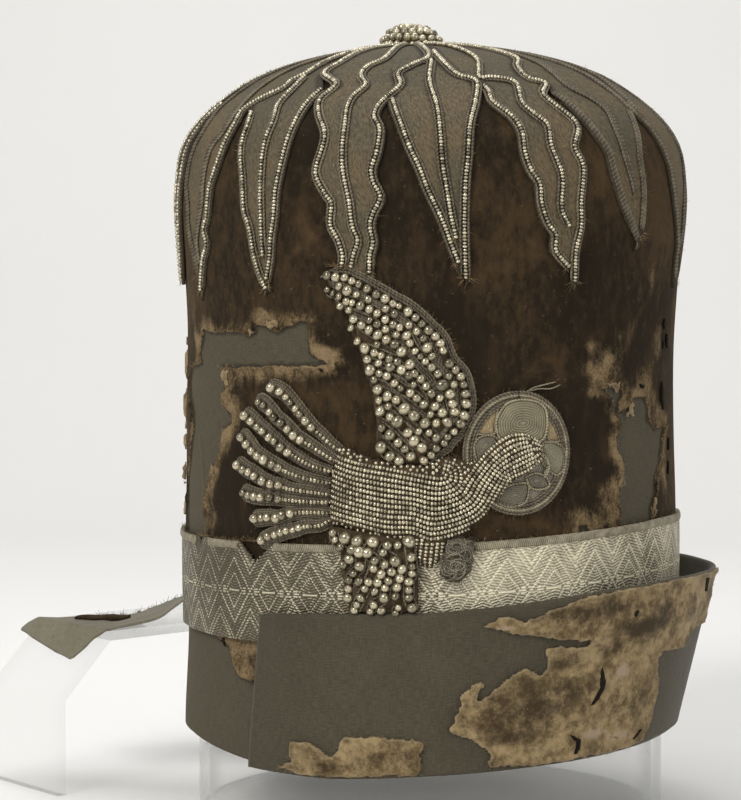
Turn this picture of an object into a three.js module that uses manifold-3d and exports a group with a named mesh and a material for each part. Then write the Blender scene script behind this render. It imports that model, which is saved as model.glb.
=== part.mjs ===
// A tall round-topped ceremonial hat in worn velvet, worked with rays and a dove in pearls, bound with a
// woven silver band, with a turned-up brim and one lappet, standing on a plain clear tube and riser.
// Millimetres, +Z up, front along -Y. The table is Z = 0.

import * as THREE from 'three';
import { mergeVertices } from 'three/addons/utils/BufferGeometryUtils.js';
import Module from 'manifold-3d';

const wasm = await Module();
wasm.setup();

// Driving dimensions
const HAT_AXIS = { x: 36, y: -11 };        // the hat's axis, from the middle of the whole object's footprint
const SECTORS = 40;                      // flats round the hat
const CLOTH_WALL = 2;                    // felted crown, velvet and silk together
const SEAT = 0.4;                        // clearance between a trimming and what it lies on
const CUT_CLEARANCE = 0.5;               // the same where one trimming crosses another
const HEAD_RADIUS = 97;                  // turns a length round the hat into an angle
const BUTTON = { across: 24, base: 302.3, top: 313, left: 7.5 };
const TUBE = { radius: 92.5, wall: 4, top: 264.3 };
const RISER = { corner: [-133.8, 27], bearing: 42.7, width: 50, sheet: 4, top: 65.5, chamfer: 25, reach: 92 };

// The crown's outline from the top centre to the hem: height, radius
const CROWN_OUTLINE = [
  [302, 0], [301, 20], [297, 44], [290.5, 65], [282, 79.5], [272, 91], [262, 97.2], [250, 99.3],
  [237, 99.8], [212, 98.4], [185, 96.9], [150, 97], [110, 97.6], [70, 97.2], [20, 96.5],
];

// Distances down the crown from its top centre at which it is sectioned, and the further ones that a
// waving ray needs to turn at
const CROWN_STATIONS = [14, 32, 50, 66, 79, 89, 98, 108, 119, 141, 168, 200, 236, 268];
const LINING_STATIONS = [32, 66, 89, 98, 108, 119, 141, 200, 236];
const WAVE_STATIONS = [130, 152];

// Shallow dents where the cloth has slumped: bearing, height, depth, spread
const DENTS = [
  [-62, 262, 0.9, 26],
  [38, 270, 0.8, 22],
  [-84, 205, 0.7, 34],
  [100, 190, 0.8, 36],
  [170, 240, 1, 40],
];

// The hem, which dips at the front left: bearing, height
const HEM = [
  [-180, 33], [-120, 34], [-72, 33], [-45, 29.6], [-22, 29.2], [0, 31.8], [22, 34], [45, 35.7],
  [70, 37.6], [100, 37], [135, 35], [180, 33],
];

// The woven band's two edges: bearing, lower, upper
const BAND = [
  [-180, 77, 115], [-120, 76.5, 113], [-75, 76.2, 112.3], [-50, 76.4, 113.3], [-19, 77.5, 114.7],
  [8, 78.5, 116], [39, 80.5, 118.7], [62, 82, 120.2], [90, 82, 119.5], [135, 79.5, 117], [180, 77, 115],
];
const BAND_WALL = 1.2;

// The turned-up brim: bearing at the fold, height of its free edge, how far that edge stands off
const BRIM = [
  [-43, 87, 2.3], [-20, 89.3, 2.7], [0, 90.5, 3.2], [18, 93.4, 4.6], [38, 97, 7.4], [56, 98.6, 10.6],
  [74, 98, 13], [92, 97, 14.6], [112, 96.5, 14.2], [134, 95.5, 11], [156, 93, 6.4], [176, 89, 3],
];
const BRIM_END_SLANT = 5;                // degrees by which the front end leans as it rises
const BRIM_WALL = 2;

// The rays that show at the front: bearing at the shoulder, bearing at the tip, reach, wavy, and how
// much of the reach is left clear by the dove's wing
const FRONT_RAYS = [
  [-57, -58.7, 170, true, 170],
  [-37.5, -37, 168, false, 168],
  [-18.5, -14.5, 176, true, 152],
  [1.5, 6.9, 168, false, 168],
  [21.6, 30.2, 166, true, 166],
  [44, 50, 151, false, 151],
  [66, 73, 162, true, 162],
];
const RAY_COUNT = 16;
const BACK_RAY_REACH = { straight: 167, wavy: 170 };
const RAY = { shoulder: 91, half: 8.8, silk: 0.9, string: 1.9, sway: 1.5, wave: 22 };

// The dove lies on the front wall. Across is the length round the wall from the front centre line.
// Each row is one section: start across, start height, end across, end height, relief.
const DOVE_BODY = [
  [-34.2, 126, -32, 150.6, 3.0], [-27, 121.5, -27, 148.6, 4.6], [-19, 119, -19, 146.8, 5.6],
  [-11, 117, -12, 145.8, 6.2], [-5, 114, -5, 144.8, 6.4], [1, 106.5, 1, 144.6, 6.4],
  [6.5, 112, 7, 145.4, 6.2], [12, 120.5, 13, 147.6, 6.0], [18, 126.6, 19, 146.8, 5.8],
  [24, 134, 24.5, 148.6, 5.6], [30, 138.4, 30, 153, 5.8], [36, 140.2, 36, 155, 5.6],
  [42, 144.2, 41.5, 153.4, 4.6], [45, 147, 45, 149.6, 3.0],
];
const DOVE_WING = [
  [-14.6, 147.8, 1.5, 146.8, 3.6], [-17.6, 154, 9.5, 154, 3.6], [-17.8, 161, 14, 161, 3.6],
  [-16, 168, 15.4, 168, 3.6], [-16.6, 176, 14, 176, 3.6], [-19, 184, 10.4, 184, 3.4],
  [-22.2, 192, 5, 192, 3.2], [-26.4, 200, -4, 200, 3.2], [-30, 207, -13, 207, 3.0],
  [-33, 212.6, -23, 212.6, 2.8], [-35.2, 216.6, -31.5, 216.6, 2.4],
];
const DOVE_FAR_WING = [
  [-30.6, 120.2, -6.6, 112.2, 3.4], [-31, 113, -4.6, 108.4, 4], [-30.4, 107, -3.8, 104.4, 4],
  [-28.2, 100, -3.4, 99, 4], [-26.4, 92.8, -3.2, 93, 3.8],
];
const WING_STRINGS = 6;
const FAR_WING_STRINGS = 5;

// Tail feathers, top one first: tip across, tip height, root across, root height
const TAIL_FEATHERS = [
  [-58, 172, -34.6, 152.2], [-64, 166, -35.8, 147.8], [-70, 161, -36.6, 143.6], [-73, 153, -37.2, 139.6],
  [-74, 142.4, -37.6, 135.8], [-71, 131.6, -37.6, 132.2], [-66, 123, -37.2, 128.6], [-62.6, 116, -36.2, 125],
];
const FEATHER = { tipHalf: 2.7, rootHalf: 1.3, relief: 3.2, sections: 5 };

const NIMBUS = { across: 32, height: 148, halfWidth: 21.3, halfHeight: 22.8, plate: 1.2, rim: 2 };
const THREAD_KNOT = { across: 12.2, height: 109, halfWidth: 5, halfHeight: 5.8, relief: 3.4 };

// Torn velvet left on the brim: bearing, lowest and highest fraction of the brim's height
const BRIM_VELVET_RIGHT = [
  [7, 0.14, 0.34], [11, 0.12, 0.52], [17, 0.03, 0.6], [23, 0.05, 0.9], [30, 0.04, 0.97], [38, 0.06, 0.98],
  [47, 0.1, 0.98], [56, 0.14, 0.98], [62, 0.3, 0.98], [68, 0.52, 0.98], [76, 0.6, 0.98], [84, 0.68, 0.98],
];
const BRIM_VELVET_LEFT = [
  [-34, 0.03, 0.1], [-29, 0.03, 0.22], [-23, 0.03, 0.17], [-17, 0.03, 0.21], [-9, 0.03, 0.2], [-1, 0.03, 0.16],
];
const VELVET_PILE = 0.8;

// The lappet from the hat's side to its drooping end, each row a section: near edge, far edge, and how
// far its middle bows away from the hat
const LAPPET = [
  [-99.3, 8.7, 81.5, -84.6, 52.8, 83.5, 2.9],
  [-105, 12.5, 77, -100.5, 57, 78, 1.5],
  [-113, 17, 72, -114.5, 61, 72.4, 0],
  [-131, 22.5, 67, -127.6, 65, 67.2, 0],
  [-134, 22.7, 64.8, -135.5, 62, 67.1, 0],
  [-137, 23, 62.5, -143, 60, 67, 0],
  [-140, 23.4, 60, -150.5, 59, 66, 0],
  [-143, 23.8, 57.5, -158, 58, 64, 0],
  [-146, 24.5, 56, -167, 59.6, 62, 0],
  [-149.2, 25.2, 54.4, -176, 61.5, 59.4, 0],
];
const LAPPET_WALL = 1.6;
const LAPPET_STEPS = 6;
const LAPPET_OVERHANG = 3;               // how far the stiff cloth runs past the riser's bend before it drops
const LAPPET_SETTLE = 6;                 // and the further run in which it comes down to the slope

const COLOURS = {
  velvet: { color: 0x3c2d1e, roughness: 0.9, metalness: 0 },
  wornVelvet: { color: 0x7d6340, roughness: 0.95, metalness: 0 },
  silk: { color: 0x5f5a4b, roughness: 0.75, metalness: 0 },
  pearl: { color: 0xaaa08c, roughness: 0.3, metalness: 0.1 },
  galloon: { color: 0x969178, roughness: 0.45, metalness: 0.6 },
  cord: { color: 0x736e62, roughness: 0.6, metalness: 0.3 },
  lining: { color: 0xa29c86, roughness: 0.8, metalness: 0 },
  acrylic: { color: 0xe6ebeb, roughness: 0.05, metalness: 0, transparent: true, opacity: 0.35 },
};

const lerp = THREE.MathUtils.lerp;
const smooth = THREE.MathUtils.smoothstep;
const radians = THREE.MathUtils.degToRad;

// A column of a table read at any value of the first column, along a straight run between rows
function readTable(rows, at, column) {
  const last = rows.length - 1;
  if (at <= rows[0][0]) return rows[0][column];
  if (at >= rows[last][0]) return rows[last][column];
  const after = rows.findIndex((row) => row[0] >= at);
  const from = rows[after - 1];
  const to = rows[after];
  return lerp(from[column], to[column], (at - from[0]) / (to[0] - from[0]));
}

// The crown's outline as a smooth curve, measured along its length from the top centre
const outline = new THREE.SplineCurve(CROWN_OUTLINE.map(([height, radius]) => new THREE.Vector2(radius, height)));
outline.arcLengthDivisions = 2000;
const outlineLength = outline.getLength();

function alongAtHeight(height) {
  let low = 60;
  let high = outlineLength;
  for (let step = 0; step < 40; step += 1) {
    const middle = (low + high) / 2;
    if (outline.getPointAt(middle / outlineLength).y > height) low = middle;
    else high = middle;
  }
  return low;
}

function dentAt(bearing, height) {
  return DENTS.reduce((total, [dentBearing, dentHeight, depth, spread]) => {
    const turn = ((bearing - dentBearing + 540) % 360) - 180;
    const round = radians(turn) * HEAD_RADIUS;
    return total + depth * Math.exp(-(round ** 2 + (height - dentHeight) ** 2) / spread ** 2);
  }, 0);
}

// A point on or off the crown: bearing in degrees from the front, distance down from the top, lift off it
function onCrown(bearing, along, lift) {
  const at = outline.getPointAt(along / outlineLength);
  const tangent = outline.getTangentAt(along / outlineLength);
  const off = lift - dentAt(bearing, at.y);
  const radius = at.x - tangent.y * off;
  const height = at.y + tangent.x * off;
  const turn = radians(bearing);
  return new THREE.Vector3(Math.sin(turn) * radius, -Math.cos(turn) * radius, height);
}

// The same for work laid out flat on the wall: length round the hat, and height
function onWall(across, height, lift) {
  return onCrown(THREE.MathUtils.radToDeg(across / HEAD_RADIUS), alongAtHeight(height), lift);
}

function buildGeometry(points, faces) {
  const geometry = new THREE.BufferGeometry();
  geometry.setAttribute('position', new THREE.Float32BufferAttribute(points.flatMap((p) => [p.x, p.y, p.z]), 3));
  geometry.setIndex(faces);
  if (signedVolume(points, faces) < 0) {
    geometry.setIndex(faces.map((_, i) => faces[i - (i % 3) + (2 - (i % 3))]));
  }
  geometry.computeVertexNormals();
  return geometry;
}

function signedVolume(points, faces) {
  let total = 0;
  for (let i = 0; i < faces.length; i += 3) {
    const [a, b, c] = [points[faces[i]], points[faces[i + 1]], points[faces[i + 2]]];
    total += a.dot(new THREE.Vector3().crossVectors(b, c));
  }
  return total / 6;
}

// A closed body from rings of equal count: the first and last entries are single points
function poleToPole(first, rings, last) {
  const points = [first, ...rings.flat(), last];
  const count = rings[0].length;
  const faces = [];
  const at = (ring, i) => 1 + ring * count + (i % count);
  for (let i = 0; i < count; i += 1) {
    faces.push(0, at(0, i), at(0, i + 1));
    for (let ring = 0; ring < rings.length - 1; ring += 1) {
      faces.push(at(ring, i), at(ring + 1, i), at(ring + 1, i + 1));
      faces.push(at(ring, i), at(ring + 1, i + 1), at(ring, i + 1));
    }
    faces.push(points.length - 1, at(rings.length - 1, i + 1), at(rings.length - 1, i));
  }
  return buildGeometry(points, faces);
}

// A closed body from loops placed round the hat, the last loop joining the first
function roundAndRound(loops) {
  const size = loops[0].length;
  const faces = [];
  const at = (loop, i) => (loop % loops.length) * size + (i % size);
  loops.forEach((_, loop) => {
    for (let i = 0; i < size; i += 1) {
      faces.push(at(loop, i), at(loop + 1, i), at(loop + 1, i + 1));
      faces.push(at(loop, i), at(loop + 1, i + 1), at(loop, i + 1));
    }
  });
  return buildGeometry(loops.flat(), faces);
}

// A closed sheet between two grids of points of the same size
function sheetBetween(upper, lower) {
  const rows = upper.length;
  const columns = upper[0].length;
  const points = [...upper.flat(), ...lower.flat()];
  const faces = [];
  const top = (i, j) => i * columns + j;
  const under = (i, j) => rows * columns + top(i, j);
  const quad = (a, b, c, d) => faces.push(a, b, c, a, c, d);
  for (let i = 0; i < rows - 1; i += 1) {
    for (let j = 0; j < columns - 1; j += 1) {
      quad(top(i, j), top(i + 1, j), top(i + 1, j + 1), top(i, j + 1));
      quad(under(i, j), under(i, j + 1), under(i + 1, j + 1), under(i + 1, j));
    }
    quad(top(i, 0), under(i, 0), under(i + 1, 0), top(i + 1, 0));
    quad(top(i, columns - 1), top(i + 1, columns - 1), under(i + 1, columns - 1), under(i, columns - 1));
  }
  for (let j = 0; j < columns - 1; j += 1) {
    quad(top(0, j), top(0, j + 1), under(0, j + 1), under(0, j));
    quad(top(rows - 1, j), under(rows - 1, j), under(rows - 1, j + 1), top(rows - 1, j + 1));
  }
  return buildGeometry(points, faces);
}

// Joins and cuts
function toSolid(geometry) {
  const bare = geometry.clone();
  bare.deleteAttribute('normal');
  bare.deleteAttribute('uv');
  const merged = mergeVertices(bare, 1e-4);
  return new wasm.Manifold(new wasm.Mesh({
    numProp: 3,
    vertProperties: Float32Array.from(merged.attributes.position.array),
    triVerts: Uint32Array.from(merged.index.array),
  }));
}

function fromSolid(solid) {
  const mesh = solid.getMesh();
  const geometry = new THREE.BufferGeometry();
  geometry.setAttribute('position', new THREE.Float32BufferAttribute(mesh.vertProperties, 3));
  geometry.setIndex(Array.from(mesh.triVerts));
  geometry.computeVertexNormals();
  return geometry;
}

function clearOf(geometry, keepers) {
  return fromSolid(keepers.reduce((left, keeper) => left.subtract(toSolid(keeper)), toSolid(geometry)));
}

const bearings = Array.from({ length: SECTORS }, (_, i) => -180 + (360 / SECTORS) * i);
const hemAt = (bearing) => readTable(HEM, bearing, 1);

// Crown: a hollow felted cap, its hem turned in above the brim's fold
const HEM_TURN = 1.6;
function crown() {
  const hemRing = (lift) => bearings.map((b) => onCrown(b, alongAtHeight(hemAt(b) + HEM_TURN), lift));
  const ring = (along, lift) => bearings.map((b) => onCrown(b, along, lift));
  const outside = [...CROWN_STATIONS.map((along) => ring(along, 0)), hemRing(0)];
  const inside = [...LINING_STATIONS.map((along) => ring(along, -CLOTH_WALL)), hemRing(-CLOTH_WALL)];
  return poleToPole(onCrown(0, 0, 0), [...outside, ...inside.reverse()], onCrown(0, 0, -CLOTH_WALL));
}

// Button: a low padded knob a little left of the crown's middle
function topButton() {
  const half = BUTTON.across / 2;
  const rise = BUTTON.top - BUTTON.base;
  const side = [[0, 0], [0.8, 0], [0.98, 0.16], [1, 0.34], [0.9, 0.62], [0.68, 0.84], [0.36, 0.96], [0, 1]];
  const profile = side.map(([out, up]) => new THREE.Vector2(out * half, up * rise));
  const geometry = new THREE.LatheGeometry(profile, 20);
  geometry.rotateX(Math.PI / 2);
  geometry.translate(-BUTTON.left, 0, BUTTON.base);
  return geometry;
}

// Ray: a tapering silk tongue with three raised pearl strings, straight or waving as it falls
function rayTable() {
  const rows = [...FRONT_RAYS];
  const [first, last] = [rows[0], rows[rows.length - 1]];
  const gaps = RAY_COUNT - rows.length + 1;
  for (let i = 1; i < gaps; i += 1) {
    const wavy = i % 2 === 0;
    const shoulder = lerp(last[0], first[0] + 360, i / gaps);
    const tip = lerp(last[1], first[1] + 360, i / gaps);
    const reach = wavy ? BACK_RAY_REACH.wavy : BACK_RAY_REACH.straight;
    rows.push([shoulder, tip, reach, wavy, reach]);
  }
  return rows;
}

const STRING_LAYOUT = [[-1, 0], [-0.78, 1], [-0.4, 0], [0, 1], [0.4, 0], [0.78, 1], [1, 0]];

function ray(rows, index) {
  const [shoulder, tip, reach, wavy, shown] = rows[index];
  const before = rows[(index + rows.length - 1) % rows.length][0];
  const after = rows[(index + 1) % rows.length][0];
  const toBefore = ((shoulder - before + 360) % 360) / 2;
  const toAfter = ((after - shoulder + 360) % 360) / 2;
  const turns = wavy ? [...CROWN_STATIONS, ...WAVE_STATIONS] : CROWN_STATIONS;
  const stations = [...turns.filter((along) => along < shown - 2), shown].sort((a, b) => a - b);
  const upper = [];
  const lower = [];
  stations.forEach((along) => {
    const fall = THREE.MathUtils.clamp((along - RAY.shoulder) / (reach - RAY.shoulder), 0, 1);
    const taper = (1 - fall) ** (wavy ? 0.8 : 1.3);
    const swing = wavy ? RAY.sway * smooth(along, 84, 104) * (1 - 0.6 * fall) : 0;
    const centre = lerp(shoulder, tip, fall) + swing * Math.sin((2 * Math.PI * (along - 102.5)) / RAY.wave);
    const radius = outline.getPointAt(along / outlineLength).x;
    const spread = smooth(along, 72, RAY.shoulder + 6);
    const gap = THREE.MathUtils.radToDeg(0.3 / radius);
    const tipHalf = THREE.MathUtils.radToDeg(1.3 / radius);
    const half = (root) => Math.max(lerp(root - gap, Math.min(root - gap, RAY.half * taper), spread), tipHalf);
    const place = (across, lift) => {
      const side = across < 0 ? half(toBefore) : half(toAfter);
      return skewed(centre + across * side, along, lift);
    };
    upper.push(STRING_LAYOUT.map(([across, raised]) => place(across, SEAT + (raised ? RAY.string : RAY.silk))));
    lower.push(STRING_LAYOUT.map(([across]) => place(across, SEAT)));
  });
  return sheetBetween(upper, lower);
}

// The rays meet under the button, so above the shoulder their lines lean towards it
function skewed(bearing, along, lift) {
  const lean = Math.max(0, 1 - along / RAY.shoulder) ** 1.5 * BUTTON.left;
  const radius = outline.getPointAt(along / outlineLength).x;
  const turn = radians(bearing);
  const plan = new THREE.Vector2(Math.sin(turn) * radius - lean, -Math.cos(turn) * radius);
  if (lean === 0) return onCrown(bearing, along, lift);
  return onCrown(THREE.MathUtils.radToDeg(Math.atan2(plan.x, -plan.y)), alongAtRadius(plan.length()), lift);
}

function alongAtRadius(radius) {
  let low = 0;
  let high = 105;
  for (let step = 0; step < 40; step += 1) {
    const middle = (low + high) / 2;
    if (outline.getPointAt(middle / outlineLength).x < radius) low = middle;
    else high = middle;
  }
  return low;
}

// Band: a flat woven ribbon right round the hat
function band(grow = 0) {
  const inner = grow ? -1 : SEAT;
  const outer = SEAT + BAND_WALL + grow;
  return roundAndRound(bearings.map((b) => {
    const lower = alongAtHeight(readTable(BAND, b, 1) - grow);
    const upper = alongAtHeight(readTable(BAND, b, 2) + grow);
    return [onCrown(b, upper, inner), onCrown(b, upper, outer), onCrown(b, lower, outer), onCrown(b, lower, inner)];
  }));
}

// Brim: folded up from under the hem, close at the front left and flaring at the right
const BRIM_HEIGHTS = [0, 0.04, 0.3, 0.55, 0.8, 1];
const brimBearings = [-43, ...bearings.filter((b) => b > -40 && b < 175), 176];

function onBrim(bearing, fraction, lift) {
  const end = 1 - smooth(bearing, BRIM[0][0], BRIM[0][0] + 12);
  const turned = bearing + BRIM_END_SLANT * end * fraction;
  const fold = hemAt(bearing);
  const height = lerp(fold, readTable(BRIM, bearing, 1), fraction);
  const off = lerp(SEAT, readTable(BRIM, bearing, 2), fraction);
  return onCrown(turned, alongAtHeight(height), off + lift);
}

function brim() {
  const fold = { under: -CLOTH_WALL, wall: 1.2 };
  const upper = [];
  const lower = [];
  brimBearings.forEach((b) => {
    const low = alongAtHeight(hemAt(b));
    const lip = alongAtHeight(hemAt(b) + fold.wall);
    const outside = BRIM_HEIGHTS.map((f) => onBrim(b, f, BRIM_WALL));
    const inside = BRIM_HEIGHTS.slice(1).map((f) => onBrim(b, f, 0));
    upper.push([onCrown(b, low, fold.under), ...outside]);
    lower.push([onCrown(b, lip, fold.under), onCrown(b, lip, SEAT), ...inside]);
  });
  return sheetBetween(upper, lower);
}

// Torn velvet that still clings to the brim
function brimVelvet(rows) {
  const first = rows[0][0];
  const last = rows[rows.length - 1][0];
  const inner = BRIM_WALL + SEAT;
  const inside = brimBearings.filter((b) => b > first + 1 && b < last - 1);
  const across = [first, ...inside, last];
  const steps = [0, 0.25, 0.5, 0.75, 1];
  const grid = (lift) => across.map((b) => {
    const low = readTable(rows, b, 1);
    const high = readTable(rows, b, 2);
    return steps.map((t) => onBrim(b, lerp(low, high, t), lift));
  });
  return sheetBetween(grid(inner + VELVET_PILE), grid(inner));
}

// Raised work on the wall from a table of sections, each crossed by a number of ridges or one swell
function raisedWork(rows, ridges, stepsAcross, grow = 0) {
  const edge = 0.8;
  const upper = [];
  const lower = [];
  rows.forEach(([fromAcross, fromHeight, toAcross, toHeight, relief]) => {
    const top = [];
    const under = [];
    for (let j = 0; j <= stepsAcross; j += 1) {
      const t = j / stepsAcross;
      const swell = ridges ? 0.45 + 0.55 * Math.abs(Math.sin(Math.PI * ridges * t)) : Math.sin(Math.PI * t) ** 0.6;
      const rim = j === 0 || j === stepsAcross ? 0 : 1;
      const across = lerp(fromAcross, toAcross, t);
      const height = lerp(fromHeight, toHeight, t);
      top.push(onWall(across, height, SEAT + edge + grow + (relief - edge) * swell * rim));
      under.push(onWall(across, height, grow ? -1 : SEAT));
    }
    upper.push(top);
    lower.push(under);
  });
  return sheetBetween(upper, lower);
}

// Tail feather: a padded rib, broad at the tip and narrow where it enters the body
function tailFeather([tipAcross, tipHeight, rootAcross, rootHeight]) {
  const length = Math.hypot(rootAcross - tipAcross, rootHeight - tipHeight);
  const sideways = { across: -(rootHeight - tipHeight) / length, height: (rootAcross - tipAcross) / length };
  const rows = [];
  for (let i = 0; i <= FEATHER.sections; i += 1) {
    const t = i / FEATHER.sections;
    const half = i === 0 ? FEATHER.tipHalf * 0.6 : lerp(FEATHER.tipHalf, FEATHER.rootHalf, t);
    const across = lerp(tipAcross, rootAcross, t);
    const height = lerp(tipHeight, rootHeight, t);
    const relief = lerp(FEATHER.relief, 2, smooth(t, 0.5, 0.8));
    rows.push([
      across - sideways.across * half, height - sideways.height * half,
      across + sideways.across * half, height + sideways.height * half, relief,
    ]);
  }
  return raisedWork(rows, 0, 2);
}

// Round work on the wall: rings of a stated share of the radius and a stated lift
function roundWork({ across, height, halfWidth, halfHeight }, rings, segments, grow = 0) {
  const place = (share, lift, i) => {
    const turn = (2 * Math.PI * i) / segments;
    return onWall(
      across + Math.cos(turn) * (halfWidth * share + grow),
      height + Math.sin(turn) * (halfHeight * share + grow),
      lift,
    );
  };
  const base = grow ? -1 : SEAT;
  const ring = ([share, lift]) => Array.from({ length: segments }, (_, i) => place(share, SEAT + lift + grow, i));
  const flat = (share) => Array.from({ length: segments }, (_, i) => place(share, base, i));
  const loops = [...rings.slice(1).map(ring), flat(1), flat(0.66), flat(0.33)];
  return poleToPole(onWall(across, height, SEAT + rings[0][1] + grow), loops, onWall(across, height, base));
}

function nimbus(grow = 0) {
  const { plate, rim } = NIMBUS;
  const rings = [[0, plate], [0.4, plate], [0.78, plate], [0.86, rim], [0.96, rim], [1, plate]];
  return roundWork(NIMBUS, rings, 24, grow);
}

function threadKnot() {
  const { relief } = THREAD_KNOT;
  return roundWork(THREAD_KNOT, [[0, relief * 0.8], [0.35, relief], [0.75, relief * 0.75], [1, relief * 0.3]], 12);
}

// The riser's upper surface under a point of the lappet
function riserSurface(x, y) {
  const turn = radians(RISER.bearing);
  const run = (x - RISER.corner[0]) * Math.cos(turn) + (y - RISER.corner[1]) * Math.sin(turn);
  if (run > RISER.reach) return 0;
  const overhang = LAPPET_OVERHANG * THREE.MathUtils.clamp(2 + run / LAPPET_SETTLE, 0, 1);
  return RISER.top + Math.min(0, run + overhang);
}

// Lappet: a flat tongue from the hat's side that lies on the riser and droops over its edge
function lappet() {
  const steps = Array.from({ length: LAPPET_STEPS + 1 }, (_, i) => i / LAPPET_STEPS);
  const centres = LAPPET.map((row) => steps.map((t) => {
    const bow = 4 * t * (1 - t) * row[6];
    const x = lerp(row[0], row[3], t);
    const y = lerp(row[1], row[4], t);
    const out = Math.hypot(x, y);
    const height = Math.max(lerp(row[2], row[5], t), riserSurface(x, y) + LAPPET_WALL / 2 + SEAT);
    return new THREE.Vector3(x + (bow * x) / out, y + (bow * y) / out, height);
  }));
  const half = LAPPET_WALL / 2;
  const shift = (amount) => centres.map((row) => row.map((p) => p.clone().add(new THREE.Vector3(0, 0, amount))));
  return sheetBetween(shift(half), shift(-half));
}

// Stand tube: a plain clear ring with its foot on the table and its rim under the crown's shoulder
function standTube() {
  const { radius, wall, top } = TUBE;
  const profile = [[radius, 0], [radius, top], [radius - wall, top], [radius - wall, 0], [radius, 0]];
  const geometry = new THREE.LatheGeometry(profile.map(([r, z]) => new THREE.Vector2(r, z)), SECTORS);
  geometry.rotateX(Math.PI / 2);
  return geometry;
}

// Stand riser: one sheet bent into a low bridge with a chamfered front, its bends rounded
function standRiser() {
  const { corner, bearing, width, sheet, top, chamfer, reach } = RISER;
  const slope = sheet * Math.tan(Math.PI / 8);
  const outer = [[-chamfer, 0], [-chamfer, top - chamfer], [0, top], [reach, top], [reach, 0]];
  const inner = [
    [reach - sheet, 0], [reach - sheet, top - sheet], [slope, top - sheet],
    [sheet - chamfer, top - chamfer - slope], [sheet - chamfer, 0],
  ];
  const shape = new THREE.Shape([...outer, ...inner].map(([run, height]) => new THREE.Vector2(run, height)));
  const geometry = new THREE.ExtrudeGeometry(shape, { depth: width, bevelEnabled: false, curveSegments: 4 });
  geometry.rotateX(Math.PI / 2);
  geometry.scale(1, -1, 1);
  geometry.setIndex([...Array(geometry.attributes.position.count).keys()].map((i) => i - (i % 3) + (2 - (i % 3))));
  geometry.rotateZ(radians(bearing));
  geometry.translate(corner[0], corner[1], 0);
  return geometry;
}

const hat = new THREE.Group();
hat.position.set(HAT_AXIS.x, HAT_AXIS.y, 0);

function add(name, geometry, colour) {
  const mesh = new THREE.Mesh(geometry, new THREE.MeshStandardMaterial(COLOURS[colour]));
  mesh.name = name;
  hat.add(mesh);
}

add('crown', crown(), 'velvet');
add('top_button', topButton(), 'pearl');
const rays = rayTable();
rays.forEach((_, i) => add(`sun_ray_${String(i + 1).padStart(2, '0')}`, ray(rays, i), 'silk'));
add('galloon_band', band(), 'galloon');
add('turned_up_brim', brim(), 'silk');
add('brim_velvet_right', brimVelvet(BRIM_VELVET_RIGHT), 'wornVelvet');
add('brim_velvet_left', brimVelvet(BRIM_VELVET_LEFT), 'wornVelvet');
add('dove_body', clearOf(raisedWork(DOVE_BODY, 0, 6), [nimbus(CUT_CLEARANCE), band(CUT_CLEARANCE)]), 'pearl');
const wing = raisedWork(DOVE_WING, WING_STRINGS, 2 * WING_STRINGS);
add('dove_wing', clearOf(wing, [nimbus(CUT_CLEARANCE)]), 'pearl');
const farWing = raisedWork(DOVE_FAR_WING, FAR_WING_STRINGS, 2 * FAR_WING_STRINGS);
add('dove_far_wing', clearOf(farWing, [band(CUT_CLEARANCE)]), 'pearl');
TAIL_FEATHERS.forEach((row, i) => add(`dove_tail_feather_${i + 1}`, tailFeather(row), 'pearl'));
add('nimbus', nimbus(), 'cord');
add('thread_knot', clearOf(threadKnot(), [band(CUT_CLEARANCE)]), 'cord');
add('lappet', lappet(), 'lining');
add('stand_tube', standTube(), 'acrylic');
add('stand_riser', standRiser(), 'acrylic');

export default hat;
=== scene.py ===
# A tall ceremonial hat in worn velvet, worked with rays and a dove in pearls, on a clear stand.
# Tables are in millimetres from the hat's own axis and the table top, and the scene is in metres.
import bpy
import math
import numpy as np
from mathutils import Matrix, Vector


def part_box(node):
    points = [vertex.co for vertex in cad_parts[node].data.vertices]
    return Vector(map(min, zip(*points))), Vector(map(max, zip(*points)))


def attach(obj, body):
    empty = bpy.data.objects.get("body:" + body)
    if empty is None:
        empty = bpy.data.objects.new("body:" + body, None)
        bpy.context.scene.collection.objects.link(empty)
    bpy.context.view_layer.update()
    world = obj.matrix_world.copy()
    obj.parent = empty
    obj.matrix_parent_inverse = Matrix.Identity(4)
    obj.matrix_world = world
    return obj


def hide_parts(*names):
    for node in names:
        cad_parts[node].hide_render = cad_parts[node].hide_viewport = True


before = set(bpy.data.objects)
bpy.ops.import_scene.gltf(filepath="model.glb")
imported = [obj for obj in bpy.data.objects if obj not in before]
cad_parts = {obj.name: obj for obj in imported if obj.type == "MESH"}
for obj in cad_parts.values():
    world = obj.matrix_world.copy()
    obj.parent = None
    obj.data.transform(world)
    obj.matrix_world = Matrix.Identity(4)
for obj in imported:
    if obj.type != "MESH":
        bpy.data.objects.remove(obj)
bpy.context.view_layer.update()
MM = 0.001
BODY = "root"
TINY = 1e-9
chance = np.random.default_rng(41)

tube_low, tube_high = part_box("stand_tube")
AXIS_X = (tube_low[0] + tube_high[0]) / 2 / MM
AXIS_Y = (tube_low[1] + tube_high[1]) / 2 / MM

# Sizes shared with the solids
# Height and radius
CROWN_OUTLINE = [
    (302, 0), (301, 20), (297, 44), (290.5, 65), (282, 79.5), (272, 91), (262, 97.2), (250, 99.3),
    (237, 99.8), (212, 98.4), (185, 96.9), (150, 97), (110, 97.6), (70, 97.2), (20, 96.5),
]
# Bearing, height, depth and spread of each shallow dent
DENTS = [(-62, 262, 0.9, 26), (38, 270, 0.8, 22), (-84, 205, 0.7, 34), (100, 190, 0.8, 36), (170, 240, 1, 40)]
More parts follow.
